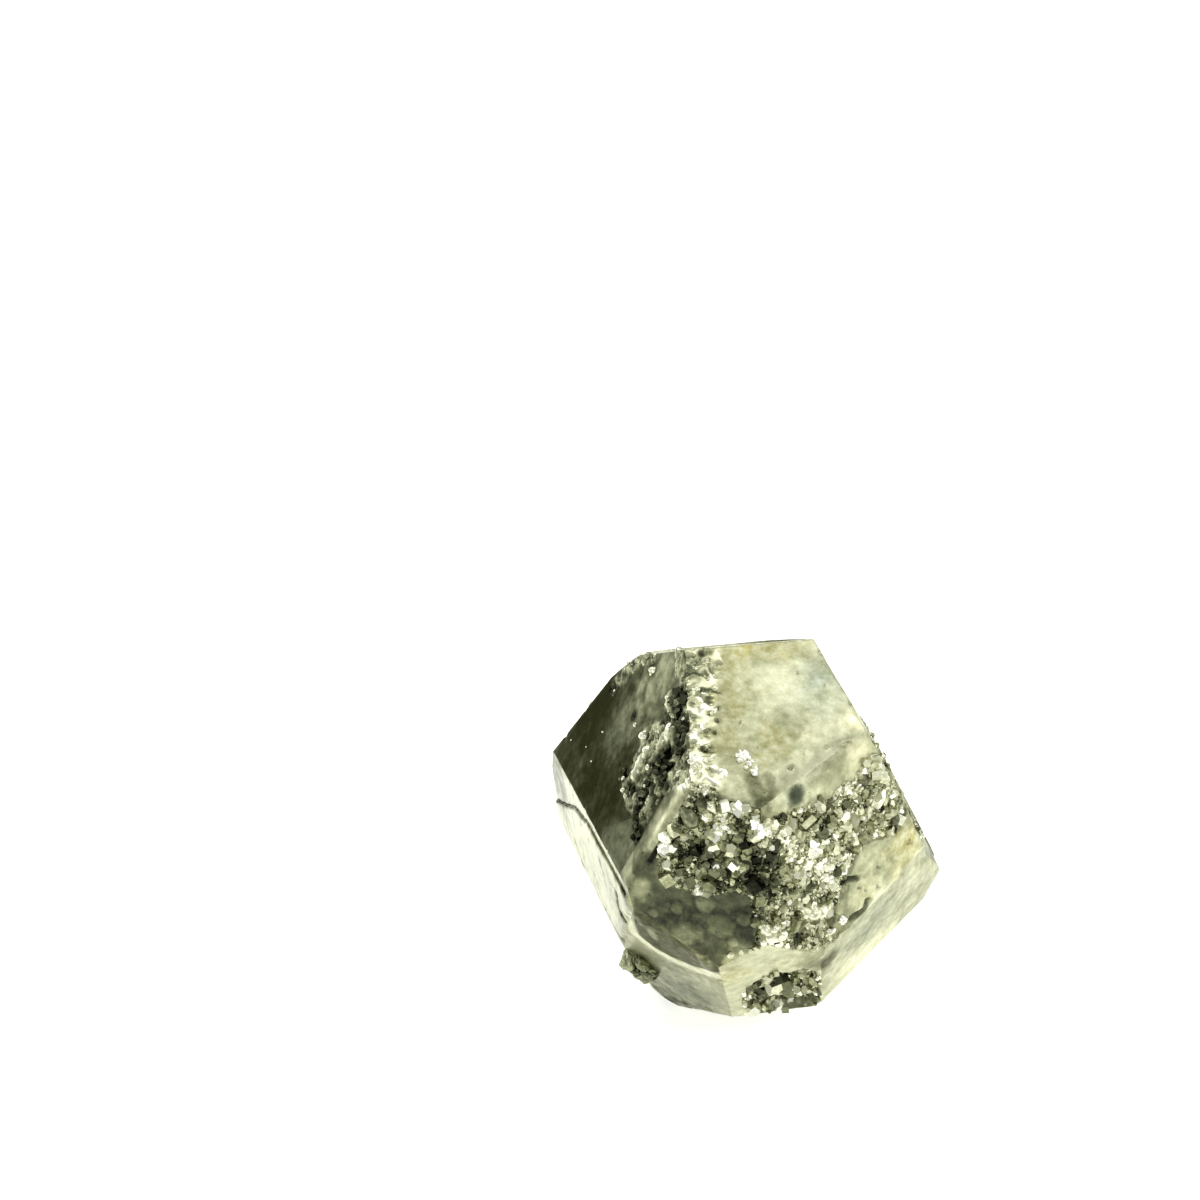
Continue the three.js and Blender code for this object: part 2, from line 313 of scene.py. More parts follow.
def by_face(rows, spacing, closed):
    """A table's rows sorted by face, with the line of each made ragged in a way of its own."""
    table = {}
    for k, (face, line, *rest) in enumerate(rows):
        table.setdefault(face, []).append((ragged(line, line_wander, spacing, closed, k), *rest))
    return table


steps = by_face(steps, 0.8, closed=True)

# The outlines of the druse belt and, below, of the lumpy crust, by face.
belts = {
    "top": [[(-11, -3.6), (-8.6, -4.6), (-7.7, -5.9), (-7.2, -7.2), (-7.4, -8.4), (-7.3, -11), (-12, -8)]],
    "front": [
        [(-5.1, 11.4), (-3.3, 12.8), (-0.5, 13.4), (1.9, 13), (5.4, 11.5), (6, 3.4), (5.7, -1.2),
         (4.9, -1.4), (4, 1.7), (3.4, 3.4), (2, 3.5), (0.3, 2.8), (-1.7, 2.5), (-3.6, 3.1), (-5.3, 4.6),
         (-5.7, 7)],
    ],
    "frontRight": [
        [(-9.4, 11.8), (-5.9, 11.9), (-2.4, 10.8), (-0.1, 10.1), (2.2, 10.1), (4, 10.4), (4.9, 11.3),
         (6, 11.1), (8.3, 4.1), (7.9, 2.8), (6.1, 1.7), (3.4, 2.6), (1.1, 2.7), (0.1, 1.9), (-0.6, 0.5),
         (-1.2, -0.8), (-2.8, -1.8), (-3.5, -3.1), (-3.1, -5.4), (-7.2, -2.8), (-12, -0.9)],
    ],
    "right": [[(-14, 4), (-9.5, 12), (-3, 12), (-5, 5), (-9, -3)]],
    "backLeft": [[(-5, -6), (-1, -2), (3, -4), (2, -8), (-2, -9)]],
    "backFoot": [[(-15, 8), (-6, 9), (-8, 5), (-13, 4)]],
}
crusts = {
    "top": [[(-2.5, 9.6), (0.2, 8.2), (-1, 6.1), (-2.6, 3.9), (-4.3, 0.8), (-5.4, -0.5), (-6.4, -2.6),
             (-6.3, -4.4), (-7.8, -5.6), (-9.1, -5.4), (-14, -4), (-12, 3), (-6, 4.6), (-4, 7.4),
             (-3.4, 9.2)]],
    "left": [[(-3.6, 15.5), (9.5, 15), (9, 12.6), (7.3, 10), (6.6, 7.9), (8.4, 4.2), (5, 3), (2.5, 1.4),
              (-0.4, 1.4), (-1.2, 4.6), (-2.9, 6.2), (-1.7, 9.3), (-2.6, 10.4), (-3.1, 12.6)],
             [(-12.4, -0.4), (-13.8, 2.6), (-13.8, 4.4), (-12.6, 6.4), (-10, 9.6), (-9.3, 9), (-10.7, 6.4),
              (-11.3, 4), (-11.3, 1)],
             [(-7.6, 13), (-7, 15), (-3, 16), (-3, 13.2), (-4.6, 12.4)]],
}
# Low round swellings in the smooth olive part of the front: the middle and the radius. They run on over
# the edge on to the face below, where they are drawn out down it, and all stand out by the same height.
swells = {
    "front": [((-1.7, -2), 1.6), ((1.4, -0.4), 1.3), ((-4.9, -0.7), 0.6), ((-2.8, 0.4), 0.7),
              ((-0.3, 1.5), 1), ((3.3, 0.9), 0.7), ((2.7, -1.7), 0.6)],
    "frontLeftFoot": [((4.1, 12.2), 1.6), ((-0.1, 6.4), 0.7), ((5.6, 7.1), 1), ((-1.4, 8.4), 0.5)],
}
swell_height = 0.08
drawn_out = {"front": (1, 1), "frontLeftFoot": (1, 1 / 3)}
# Cracks and bands, some of them painted highlights and painted shade: the face, the line, the half width,
# how far it stands out in the middle, and what it adds to the tarnish, and after it to the ochre and the
# steel-blue where they change too.
bands_and_painted_light = [
    # Painted shade: the crack and the slit beside it on the left flank are darkened inside.
    ("leftFlank", crack, 0.3, -0.15, 0.45),
    ("leftFlank", [(5, 3), (5, 1.4), (5.6, 0.8), (7, 1.6)], 0.5, -0.3, 0.7),
    # Painted highlights of worn edges: a pale line along the front's lower left edge, and a pale bluish band
    # along the olive strip on the face below it.
    ("front", [(-7.3, 0.6), (-6.8, -1), (-3, -2.7), (1.6, -4.7)], 0.3, 0, -0.1),
    ("frontLeftFoot", [(-3, 6), (-2.7, 3), (-0.8, 1.6), (1.4, 1.4), (4, 2.4), (6.3, 4.2)],
     0.9, 0, -0.28, 0, 0.4),
    ("leftFlank", [(-24, -17), (-15.6, -17.4), (-9.9, -14.9), (-3.2, -10.6), (4, -6.1), (9, -3)],
     1.5, 0, 0.25),
    # Along the rounded edge between the left face and the front: a painted shadow in the groove below it on
    # the front, and pale bands on both faces as its painted highlight.
    ("front", [(-4.9, 7.4), (-5.4, 6), (-5.9, 4.6)], 0.32, -0.2, 0.3),
    ("front", [(-2.9, 12.4), (-4, 9.8), (-4.7, 8)], 0.8, 0, -0.5),
    ("left", [(8.4, 12.4), (8.8, 9.6), (9.7, 6.2), (10.6, 3.6), (11.3, 1.6)], 1.7, 0, -0.2),
    ("left", [(9, 12.4), (10, 9.6), (10.9, 6.8)], 1.2, 0, -0.34),
    ("left", [(1, 11), (1.4, 9.7), (2, 8.3)], 0.8, 0.5, -0.45),
    ("left", [(0.1, 6.6), (0.5, 5.4), (1.3, 4)], 0.6, 0.4, -0.45),
    ("left", [(-3.3, 11.2), (-2.8, 10.7), (-1.5, 10.9)], 0.45, 0.25, -0.45),
    ("left", [(-2.2, 6.1), (-0.9, 5.3)], 0.5, 0.2, -0.35),
    ("frontRight", [(-0.9, -3.7), (0.1, -3.9), (0.9, -3.8), (1.3, -3.2)], 0.6, -0.5, 0.4, 0.3),
    ("frontRight", [(-1, 0.4), (-0.3, 0.6), (0.5, 0.2)], 0.4, -0.35, 0.45),
    ("top", [(-3.8, 4.6), (-3.1, 4.3), (-2.7, 3.7)], 0.22, 0, 0.36),
    ("top", [(-4.4, -6), (-4.6, -8), (-5.3, -10.2)], 0.9, 0, 0.24, 0.4),
    ("top", [(-3, -6.4), (-3.6, -8.6)], 0.6, 0, 0.2, 0.2, 0.2),
]
bands_and_painted_light = by_face(bands_and_painted_light, 0.5, closed=False)
# The outline of the pit in the small face at the front's foot, and its depth.
pit = [(-4.1, -2.7), (-3.5, -0.9), (-2.4, 0.9), (-1.1, 1.6), (0.3, 0.9), (1.6, 1), (3.3, -0.5), (4.5, -4.9),
       (4.9, -9), (4, -11), (-2, -11), (-2.6, -8), (-3.2, -6.1)]
pit = ragged(pit, 0.3, shift=3.0)
pit_depth = 1.7
# Pits and nicks in each face: the middle, the radius and the depth.
nicks = {
    "left": [((-5.9, 4.3), 0.5, 0.5), ((-12.6, 0.1), 0.3, 0.2), ((-3.2, -3.6), 0.16, 0.1)],
    "frontRight": [((6.5, 2.4), 0.65, 0.7), ((7.7, -0.4), 0.4, 0.5), ((0.6, -1), 0.2, 0.25),
                   ((2.8, -2.4), 0.25, 0.3), ((1.3, -1.8), 0.18, 0.2), ((3.3, -0.4), 0.2, 0.25),
                   ((3.8, -4), 0.25, 0.3), ((0.8, 3.5), 0.5, 0.5)],
    "top": [((-0.7, -6.4), 0.26, 0.25), ((-6.6, -1.4), 0.35, 0.15), ((5.2, 2.6), 0.16, 0.1)],
    "leftFlank": [((-4, -6), 0.3, 0.3), ((-8.2, -9), 0.2, 0.2)],
    "frontLeftFoot": [((4, -9), 0.5, 0.4)],
    "frontRightFoot": [((-1, -3), 0.3, 0.25)],
    "back": [((-2, -5), 0.6, 0.5), ((4.4, -8), 0.35, 0.3)],
    "backFoot": [((6, -4), 0.8, 0.6), ((-4, -6), 0.5, 0.4)],
    "right": [((5, 4), 0.7, 0.5), ((-2.4, 6), 0.3, 0.3)],
    "backLeft": [((1, 2), 0.4, 0.3)],
    "front": [],
}
# Small dents in the smooth pale crust on the top, with painted shade inside.
crust_dents = [(-3.5, 2.1), (-4.4, 1.8), (-4.2, 0.9), (-5.4, 0.3), (-5, -0.2), (-7.4, -3.5), (-6.8, -1.2)]
nicks["top"] += [(spot, 0.22, 0.15) for spot in crust_dents]
# Tiny ones are scattered over the large faces.
tiny_per_face = 14
rng = np.random.default_rng(5)
for face in ("top", "left", "leftFlank", "frontRight", "front", "back", "right", "backFoot", "backLeft"):
    for _ in range(tiny_per_face):
        radius = rng.uniform(0.07, 0.17)
        nicks[face].append((tuple(rng.uniform(-11, 11, 2)), radius, radius * 0.7))


def within(outlines, spots, edge, shift=0.0):
    """A soft mask of several outlines, whose edge is broken up by noise."""
    if not outlines or not len(spots):
        return np.zeros(len(spots))
    flat = np.column_stack((spots, np.full(len(spots), 7.3 + shift)))
    blur = fractal(flat, 1.6, 3) * 0.4
    return np.max([smooth(-edge, edge, distance_in(o, spots) + blur) for o in outlines], axis=0)


def relief_of(face, spots):
    """How far a face's own steps, pit, nicks and cracks stand out at (level, up), in millimetres."""
    height = np.zeros(len(spots))
    for outline, rise, _ in steps.get(face, []):
        height += rise * smooth(-0.05, 0.05, distance_in(outline, spots))
    for line, half_width, rise, *_ in bands_and_painted_light.get(face, []):
        if rise:
            height += rise * (1 - smooth(0.3, 1, distance_to(line, spots) / half_width))
    for middle, radius, depth in nicks.get(face, []):
        away = np.linalg.norm(spots - middle, axis=1) / radius
        height -= depth * (1 - smooth(0.35, 1.0, away))
    for middle, radius in swells.get(face, []):
        away = np.linalg.norm((spots - middle) * drawn_out[face], axis=1) / radius
        height += swell_height * (1 - smooth(0.5, 1.05, away))
    if face == "frontFoot":
        height -= pit_depth * smooth(-0.1, 0.7, distance_in(pit, spots))
    return height


# How soft the edges of the belt and of the crust are.
belt_edge, crust_edge = 0.25, 0.35


def growth_of(face, spots):
    """The masks of the druse belt and of the crust at (level, up)."""
    return within(belts.get(face), spots, belt_edge), within(crusts.get(face), spots, crust_edge, 2.0)


# How high the ground stands out under the belt, in broad and in short waves, and how far it is sunk, and
# how high the crust's ridges and its grit are.
belt_broad, belt_short, belt_sunk = 0.38, 0.16, 0.12
ridge_height, grit_height = 0.18, 0.06


def rough_height(points, belt, crust):
    """How far the ground under the belt and the crust stands out, the same on both sides of an edge."""
    height = np.zeros(len(points))
    on = belt > 0
    if on.any():
        broad, short = fractal(points[on], 2.6, 2, 4.0), fractal(points[on], 0.7, 2, 9.0)
        height[on] += belt[on] * (belt_broad * broad + belt_short * short - belt_sunk)
    on = crust > 0
    if on.any():
        grit = fractal(points[on], 0.5, 2, 2.0)
        height[on] += crust[on] * (ridge_height * ridges(points[on]) + grit_height * grit)
    return height


def ridges(points):
    """The winding ridges of the crust, from about -1 between them to 1 on top."""
    return np.clip(1 - 2.6 * np.abs(fractal(points, 1.5, 2, 6.0)), -1, 1)


# The mesh of the crystal. Every face is a sheet of triangles with rows of points along its edges and
# along its steps, so that both stay crisp, and with finer points where something has grown. The sheets of
# the hidden faces are coarser.
coarse, fine, along_edge = ((0.34, 0.17, 0.22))
edge_rows = (0.06, 0.15, 0.3)
hidden = ("rest", "frontRightUnder", "frontUnder", "leftUnder", "frontLeftUnder")


def row_beside(line, closed, offset, spacing):
    """Points along a line, moved aside by the offset."""
    ends = np.roll(line, -1, axis=0) if closed else np.vstack((line[1:], 2 * line[-1:] - line[-2:-1]))
    out = []
    for a, b in zip(line, ends):
        length = np.linalg.norm(b - a)
        if length < 1e-9:
            continue
        side = np.array((-(b - a)[1], (b - a)[0])) / length * offset
        count = max(1, round(length / spacing))
        out += [a + (b - a) * k / count + side for k in range(count)]
    return out


def grid(low, high, spacing):
    """A grid of points in a triangular pattern."""
    rows = np.arange(low[1], high[1], spacing * math.sqrt(3) / 2)
    columns = np.arange(low[0], high[0], spacing)
    return np.vstack([np.column_stack((columns + (k % 2) * spacing / 2, np.full(len(columns), y)))
                      for k, y in enumerate(rows)])


def sheet_of(face):
    """The points and triangles of one face, in its level and up."""
    ring = np.array(corners_of(names.index(face), normals, reach))
    solid = to_space(face, ring)
    rim = []
    for k in range(len(ring)):
        a, b = ring[k], ring[(k + 1) % len(ring)]
        forth = tuple(np.round(solid[k], 3)) < tuple(np.round(solid[(k + 1) % len(ring)], 3))
        count = max(1, round(np.linalg.norm(b - a) / along_edge))
        shares = np.arange(count) / count if forth else 1 - np.arange(count, 0, -1) / count
        rim += [a + (b - a) * s for s in shares]
    rim = np.array(rim)
    spots = [rim]
    wide, tight = (coarse * 2, coarse) if face in hidden else (coarse, fine)
    # Each lot of points wanted: how far they stay from the rim, and how far from the points already there.
    wanted = [(np.array(row_beside(rim, True, row, 10)), 0.8 * row, row * 0.5) for row in edge_rows]
    for outline, *_ in steps.get(face, []):
        wanted += [(np.array(row_beside(outline, True, side, 0.16)), 0.1, 0.03) for side in (0.05, -0.05)]
    for line, half_width, rise, *_ in bands_and_painted_light.get(face, []):
        if rise:
            wanted += [(np.array(row_beside(line, False, side * half_width, 0.16)), 0.1, 0.03)
                       for side in (0, 0.4, -0.4, 1, -1)]
    turns = np.linspace(0, 2 * math.pi, 10, endpoint=False)
    for middle, radius, _ in nicks.get(face, []):
        circle = np.column_stack((np.cos(turns), np.sin(turns))) * radius
        rings = np.vstack([circle * share for share in (0.35, 0.7, 1.0)] + [np.zeros((1, 2))])
        wanted.append((rings + middle, 0.15, 0.03))
    low, high = ring.min(0), ring.max(0)
    dense = grid(low, high, tight)
    busy = np.max(growth_of(face, dense), axis=0) > 0.05
    if face == "frontFoot":
        busy |= distance_in(pit, dense) > -0.4
    for middle, radius in swells.get(face, []):
        busy |= np.linalg.norm((dense - middle) * drawn_out[face], axis=1) < radius + 0.4
    wanted += [(dense[busy], tight * 0.5, tight * 0.6), (grid(low, high, wide), wide * 0.4, wide * 0.6)]
    for candidates, margin, apart in wanted:
        known = np.vstack(spots)
        tree_of_known = KDTree(len(known))
        for k, p in enumerate(known):
            tree_of_known.insert((*p, 0), k)
        tree_of_known.balance()
        candidates = candidates[distance_in(ring, candidates) > margin]
        free = [tree_of_known.find((*p, 0))[2] > apart for p in candidates]
        spots.append(candidates[np.array(free, bool)] if len(candidates) else candidates.reshape(0, 2))
    spots = np.vstack(spots)
    loop = [(k, (k + 1) % len(rim)) for k in range(len(rim))]
    made = delaunay_2d_cdt([Vector(p) for p in spots], loop, [], 1, 1e-7)
    return np.array([tuple(p) for p in made[0]]), np.array(made[2]), len(rim)


# Corners and edges that are blunter than the rest: a face, a place on it, how far round it they are so, and
# how much wider the worn edge is there.
blunt = [("frontRight", (10.8, -5), 3.5, 2.6), ("frontRight", (9.8, 0.5), 3, 1.4), ("top", (7.5, -5), 3, 0.5),
         ("top", (4, -6.8), 3, 0.7), ("top", (0.5, -7.8), 3, 1.0), ("top", (-3, -8.8), 3, 1.2),
         ("front", (-5.4, -1.6), 2.6, 0.5)]
# The width of a worn edge away from the chips, and how much wider the chips are.
worn_width, chip_width = 0.3, 1.3


def worn(places):
    """How far the edges are worn down at each place: a little all along, and more where chips have gone."""
    gaps = np.sort(reach[None] - places @ normals.T, axis=1)[:, 1]
    chips = np.clip(fractal(places, 1.3, 3, 11.0) - 0.3, 0, 1)
    chips += 0.4 * np.clip(fractal(places, 6, 2, 23.0), 0, 1)
    width = worn_width + chip_width * chips
    for face, spot, radius, more in blunt:
        away = np.linalg.norm(places - to_space(face, np.array([spot])), axis=1)
        width += more * np.exp(-((away / radius) ** 2))
    return np.where(gaps < width, (width - gaps) ** 2 / (4 * width), 0)


# The height of the faces' long and short waves.
long_waves, short_waves = 0.05, 0.012
# The whole stone stays inside the box of the CAD model.
room_for = [(np.array(corner) / MM - HEART) for corner in cad_box]


def ground(face, spots):
    """The crystal's own surface at (level, up): places, outward directions, masks and height."""
    i = names.index(face)
    place = to_space(face, spots)
    belt, crust = growth_of(face, spots)
    to_edge = np.sort(reach[None] - place @ normals.T, axis=1)[:, 1]
    own = relief_of(face, spots) * smooth(0, 0.35, to_edge)
    waves = long_waves * fractal(place, 7.0, 2, 31.0) + short_waves * fractal(place, 1.6, 2, 41.0)
    outward = unit(np.exp(-(reach[None] - place @ normals.T) / 0.6) @ normals)
    moved = place + np.outer(own + waves * smooth(0, 0.5, to_edge), normals[i])
    moved += outward * (rough_height(place, belt, crust) - worn(place))[:, None]
    return np.clip(moved, *room_for), outward, belt, crust


# The colour of each face: how deep its tarnish is, and how polished it has stayed, from 0 to 1. On the
# left face and the front the tarnish is partly painted shade, deepened for the dark surroundings they mirror.
face_tarnish_and_shade = {"top": 0.36, "left": 0.88, "front": 0.76, "frontRight": 0.42, "leftFlank": 0.28,
              "frontLeftFoot": 0.45, "frontFoot": 0.28, "frontRightFoot": 0.35, "right": 0.35, "back": 0.2,
              "backLeft": 0.6, "backLeftCorner": 0.7, "backFoot": 0.4, "rightUnder": 0.35,
              "frontLeftUnder": 0.6, "frontUnder": 0.5}
polish_of = {"leftFlank": 0.9, "frontLeftFoot": 0.4, "top": 0.25, "right": 0.4, "backFoot": 0.4}
usual_tarnish, usual_polish, pit_tarnish = 0.35, 0.1, 0.34
# How dark the crust is on a face, and the ground between the crystals of the belt, which is darkened there
# as painted shade between the crystals.
crust_tone = {"top": 0.26, "left": 0.72}
belt_tone = {"front": 0.75, "frontRight": 0.55}
# Stains on each face, with painted highlights and painted shade among them: the middle, the radius, and what
# is added to the tarnish, and after it to the ochre and the steel-blue where they change too.
stains_and_painted_light = {
    "top": [
        # The spot at (5, -3) is a painted highlight: it lightens the darker band beside the top's worn edge
        # with the front right face.
        ((-5, 9.2), 3, 0.24), ((-1.5, 3.2), 1.8, 0.02, 0.6), ((1.6, 7.6), 1.4, -0.05, 0.6),
        ((4, 6.4), 1.6, -0.05, 0.7), ((6.6, 5.6), 1.4, -0.05, 0.6), ((0.2, 6.4), 1.5, 0, 0.8),
        ((-3.1, 7.7), 1.1, 0.3), ((-3.9, 6.3), 0.6, 0.4), ((-1.4, 8.2), 0.5, 0.3), ((-5.3, 3.7), 0.6, 0.3),
        ((-8.3, -0.9), 0.5, 0.5), ((3.4, 1.6), 2.6, -0.14), ((5, -3), 2.6, -0.1), ((1.4, -6.8), 1.8, -0.16),
        ((-0.4, -1.8), 3, 0.05), ((8.2, 2.6), 2.4, 0, 0, 0.6), ((6, 0), 2.4, -0.02, 0, 0.6),
        ((8.6, 5), 1.4, -0.1, 0.4), ((-0.6, -3.2), 1.8, -0.02, 0.8), ((-5, -1.4), 1.6, 0.02, 0.7),
        ((-2.6, 1), 1.4, 0.04, 0.6), ((-1.4, -7.4), 2, -0.05), ((7.6, -4.4), 1.3, -0.3, 0.8),
        ((2.6, -8.8), 1.6, -0.06, 0, 0.3), ((-1.6, -9.2), 0.8, 0.4, 0, 1.2), ((-4.8, -9.6), 1.2, 0.1, 0.7)],
    "left": [
        # Painted shade among these: a shadow under the bright lump at (-8.6, 8.4), and shade in the slot at
        # (-5.9, 4.3).
        ((6.6, 13.2), 0.9, 0.3), ((-5, 14), 2.2, 0.22), ((3, 15), 4.5, -0.1),
        ((-5.8, 10.4), 4.6, -0.25, 0.1), ((-9.5, 4.3), 0.7, 0.2), ((-8.6, 8.4), 0.9, 0.3),
        ((2.4, 8.6), 0.6, 0.4), ((1.3, 6.3), 0.5, 0.4), ((-5, 6), 3, -0.02, 0.1),
        ((8.4, -0.6), 3.2, -0.08, 0, 0.3), ((-7.6, 8.2), 1.8, -0.12), ((-9, 3), 3.2, -0.15),
        ((-5.6, 0.2), 3, -0.12), ((-6.5, 12.5), 2.4, -0.12), ((-5.9, 4.3), 0.5, 0.3), ((9.2, 8), 1.4, -0.2),
        ((-13, -2), 5, 0.15), ((-3, -3), 4, 0.11)],
    "front": [
        ((-4.6, 3.2), 1.1, -0.2, 0.1), ((-6.4, 1.4), 0.9, -0.35, 0.1), ((4, -3.4), 1.6, -0.45, 0.4),
        ((3.6, 0.6), 1.6, 0.06), ((0.6, -3.4), 1.6, 0, 0.25)],
    "frontRight": [
        # The spot at (-4, 12.8) is a painted highlight: it lightens the strip under the edge with the top, so
        # that the shade doesn't change across that edge.
        ((7.3, -0.6), 2.4, -0.08, 1), ((-4.4, -0.4), 1.6, -0.2, 0, 1), ((2.6, -5.4), 2.2, -0.05, 0, 0.6),
        ((8.6, 0.8), 0.9, 0, 0.9), ((10, -3.6), 1.6, -0.2, 0.5, 0.3), ((4, -5.8), 3, -0.12, 0, 0.2),
        ((2, -2.8), 2.4, -0.16), ((-4, 12.8), 2.8, -0.22), ((9.4, -4.6), 0.8, 0, 0.9),
        ((1.2, -2.2), 1.3, 0.06, 0.5), ((-2.4, -5.6), 1.6, 0.25, 0.4), ((-3.7, 12.5), 0.85, 0.55, 0, 1.4),
        ((-7.5, 12.6), 1.8, 0.1, 0.4), ((4.6, 12), 1.8, -0.2, 0.3)],
    "frontFoot": [
        ((-6, 2.7), 1.8, 0, 0.9), ((0, 3.4), 1.6, 0, 0.4), ((5.6, -1), 1.2, 0.35, 0.4),
        ((3.4, 1), 1, 0.2, 0.3), ((2.4, 3.4), 2, 0.14)],
    "frontRightFoot": [
        ((-8, 4), 1.5, 0.35, 0.4), ((-4.8, -1), 1.6, 0.34, 0.3), ((2, -1), 3.5, 0.05, 0, 0.5),
        ((2, -9), 4, -0.25, 0.2)],
    "frontLeftFoot": [
        ((1, -7), 3, 0.06, 0, 0.4), ((3, -14), 4, 0.16, 0, 0.3), ((-3.6, -17), 4, 0.34, 0, 0.3),
        ((2.4, 7), 5, 0, 0.7), ((-2.8, 8.4), 1.6, 0.1, 0, 0.5)],
    "leftFlank": [
        ((8.6, 7), 1.8, 0.25, 0, 0.5), ((-20, -7.5), 4.6, 0.34, 0.3), ((7, -1), 4, 0.18),
        # The dark spots at (-0.5, 0.6), (-9.1, -11.7) and (-11.5, -10.5) are painted shade of small nicks.
        ((-16, -6), 3, 0.12), ((-0.5, 0.6), 0.5, 0.6), ((-9.1, -11.7), 0.6, 0.5),
        ((-11.5, -10.5), 0.4, 0.5)],
    "back": [((-5, 2), 4, 0.25, 0.2), ((6, -3), 3, -0.2, 0, 0.3)],
    "backFoot": [((2, 4), 4, -0.25, 0.2), ((-8, -4), 3, 0.25)],
    "right": [((3, -2), 4, -0.2, 0.3), ((-6, -8), 4, 0.2, 0, 0.5)],
    "backLeft": [((0, 0), 4, -0.2, 0.3)],
}
dark_trail = [(-2.2, 12.8), (-0.9, 13.4), (-1, 12.4), (-2, 11.5), (-0.1, 12.2), (1.3, 12.3), (2.4, 12.9),
              (2.9, 11.9), (4.1, 12.2), (2.6, 9.8), (3.1, 8.7), (2.9, 7.2), (4.4, 9.6), (5.2, 9),
              (3.7, 6.1), (4.2, 4.9), (5.5, 4), (6.6, 3.9), (8, 4), (2.5, 3.5), (-0.5, 1.6)]
stains_and_painted_light["left"] += [(spot, 0.75, 0.4) for spot in dark_trail]
# The crust's dents are darkened inside as painted shade.
stains_and_painted_light["top"] += [(spot, 0.3, 0.3) for spot in crust_dents]


def look_of(face, spots, place, belt, crust):
    """The tarnish with its painted highlights and painted shade, ochre, steel-blue and polish at (level, up).
    """
    look = np.zeros((len(spots), 3))
    look[:, 0] = face_tarnish_and_shade.get(face, usual_tarnish)
    crusty = crust_tone.get(face, 0.4) - 0.26 * ridges(place) if crust.any() else 0
    look[:, 0] += crust * (crusty - look[:, 0]) + belt * (belt_tone.get(face, 0.6) - look[:, 0])
    flat = np.column_stack((spots, np.full(len(spots), 3.3)))
    wander = 1 + 0.5 * fractal(flat, 1.5, 3, 2.0)
    for middle, radius, *added in stains_and_painted_light.get(face, []):
        away = np.linalg.norm(spots - middle, axis=1) * wander / radius
        look[:, : len(added)] += np.outer(np.exp(-0.7 * away**3), added)
    for outline, _, added in steps.get(face, []):
        if added:
            look[:, 0] += added * smooth(-0.1, 0.1, distance_in(outline, spots))
    for line, half_width, _, *added in bands_and_painted_light.get(face, []):
        away = distance_to(line, spots) * (1 + 0.4 * (wander - 1)) / half_width
        look[:, : len(added)] += np.outer(1 - smooth(0.45, 1.05, away), added)
    for middle, radius in swells.get(face, []):
        away = np.linalg.norm((spots - middle) * drawn_out[face], axis=1) * (0.3 + 0.7 * wander) / radius
        look[:, 0] += 0.05 * np.exp(-(((away - 1.06) / 0.16) ** 2)) - 0.13 * (1 - smooth(0.6, 1.1, away))
    if face == "frontFoot":
        look[:, 0] += pit_tarnish * smooth(0, 0.5, distance_in(pit, spots))
    return np.column_stack((look, np.full(len(spots), polish_of.get(face, usual_polish))))


parts = []
first = 0
for face in names:
    spots, faces_here, rim_count = sheet_of(face)
    flat = to_space(face, spots)
    moved, _, belt, crust = ground(face, spots)
    level_up = np.column_stack((spots, np.full(len(spots), names.index(face) * 7.0)))
    parts.append((flat, moved, np.column_stack((look_of(face, spots, flat, belt, crust), crust)),
                  faces_here + first, level_up[faces_here.ravel()], first + np.arange(rim_count)))
    first += len(spots)
flat_place, points, traits, triangles, level_up, rims = (np.concatenate(p) for p in zip(*parts))

# Neighbouring faces share the points of their common edge, so these are brought together.
found = KDTree(len(rims))
for k in rims:
    found.insert(flat_place[k], k)
found.balance()
joined_to = np.arange(len(points))
for k in rims:
    group = [index for _, index, _ in found.find_range(flat_place[k], 0.01)]
    if k == min(group):
        points[group], traits[group] = points[group].mean(0), traits[group].mean(0)
        joined_to[group] = k
kept, renumbered = np.unique(joined_to, return_inverse=True)
points, traits, triangles = points[kept], traits[kept], renumbered[triangles]


def new_mesh(name, places, faces, sharp):
    """A mesh from places in millimetres from the heart."""
    mesh = bpy.data.meshes.new(name)
    mesh.from_pydata(((places + HEART) * MM).tolist(), [], faces)
    mesh.update()
    if not sharp:
        mesh.shade_smooth()
    made = bpy.data.objects.new(name, mesh)
    bpy.context.collection.objects.link(made)
    return made


def write(mesh, name, values, domain="POINT"):
    """Keeps a number, or three, for each point or corner of a mesh, for its material to read."""
    kind = "FLOAT" if values.ndim == 1 else "FLOAT_VECTOR"
    held = mesh.attributes.new(name, kind, domain)
    held.data.foreach_set("value" if kind == "FLOAT" else "vector", values.astype(np.float32).ravel())


crystal = new_mesh("crystal", points, triangles.tolist(), sharp=False)
traits_held = ("tarnish_and_painted_light", "ochre", "steel", "polish", "crust")
for k, trait in enumerate(traits_held):
    write(crystal.data, trait, traits[:, k])
write(crystal.data, "level_up", level_up, "CORNER")

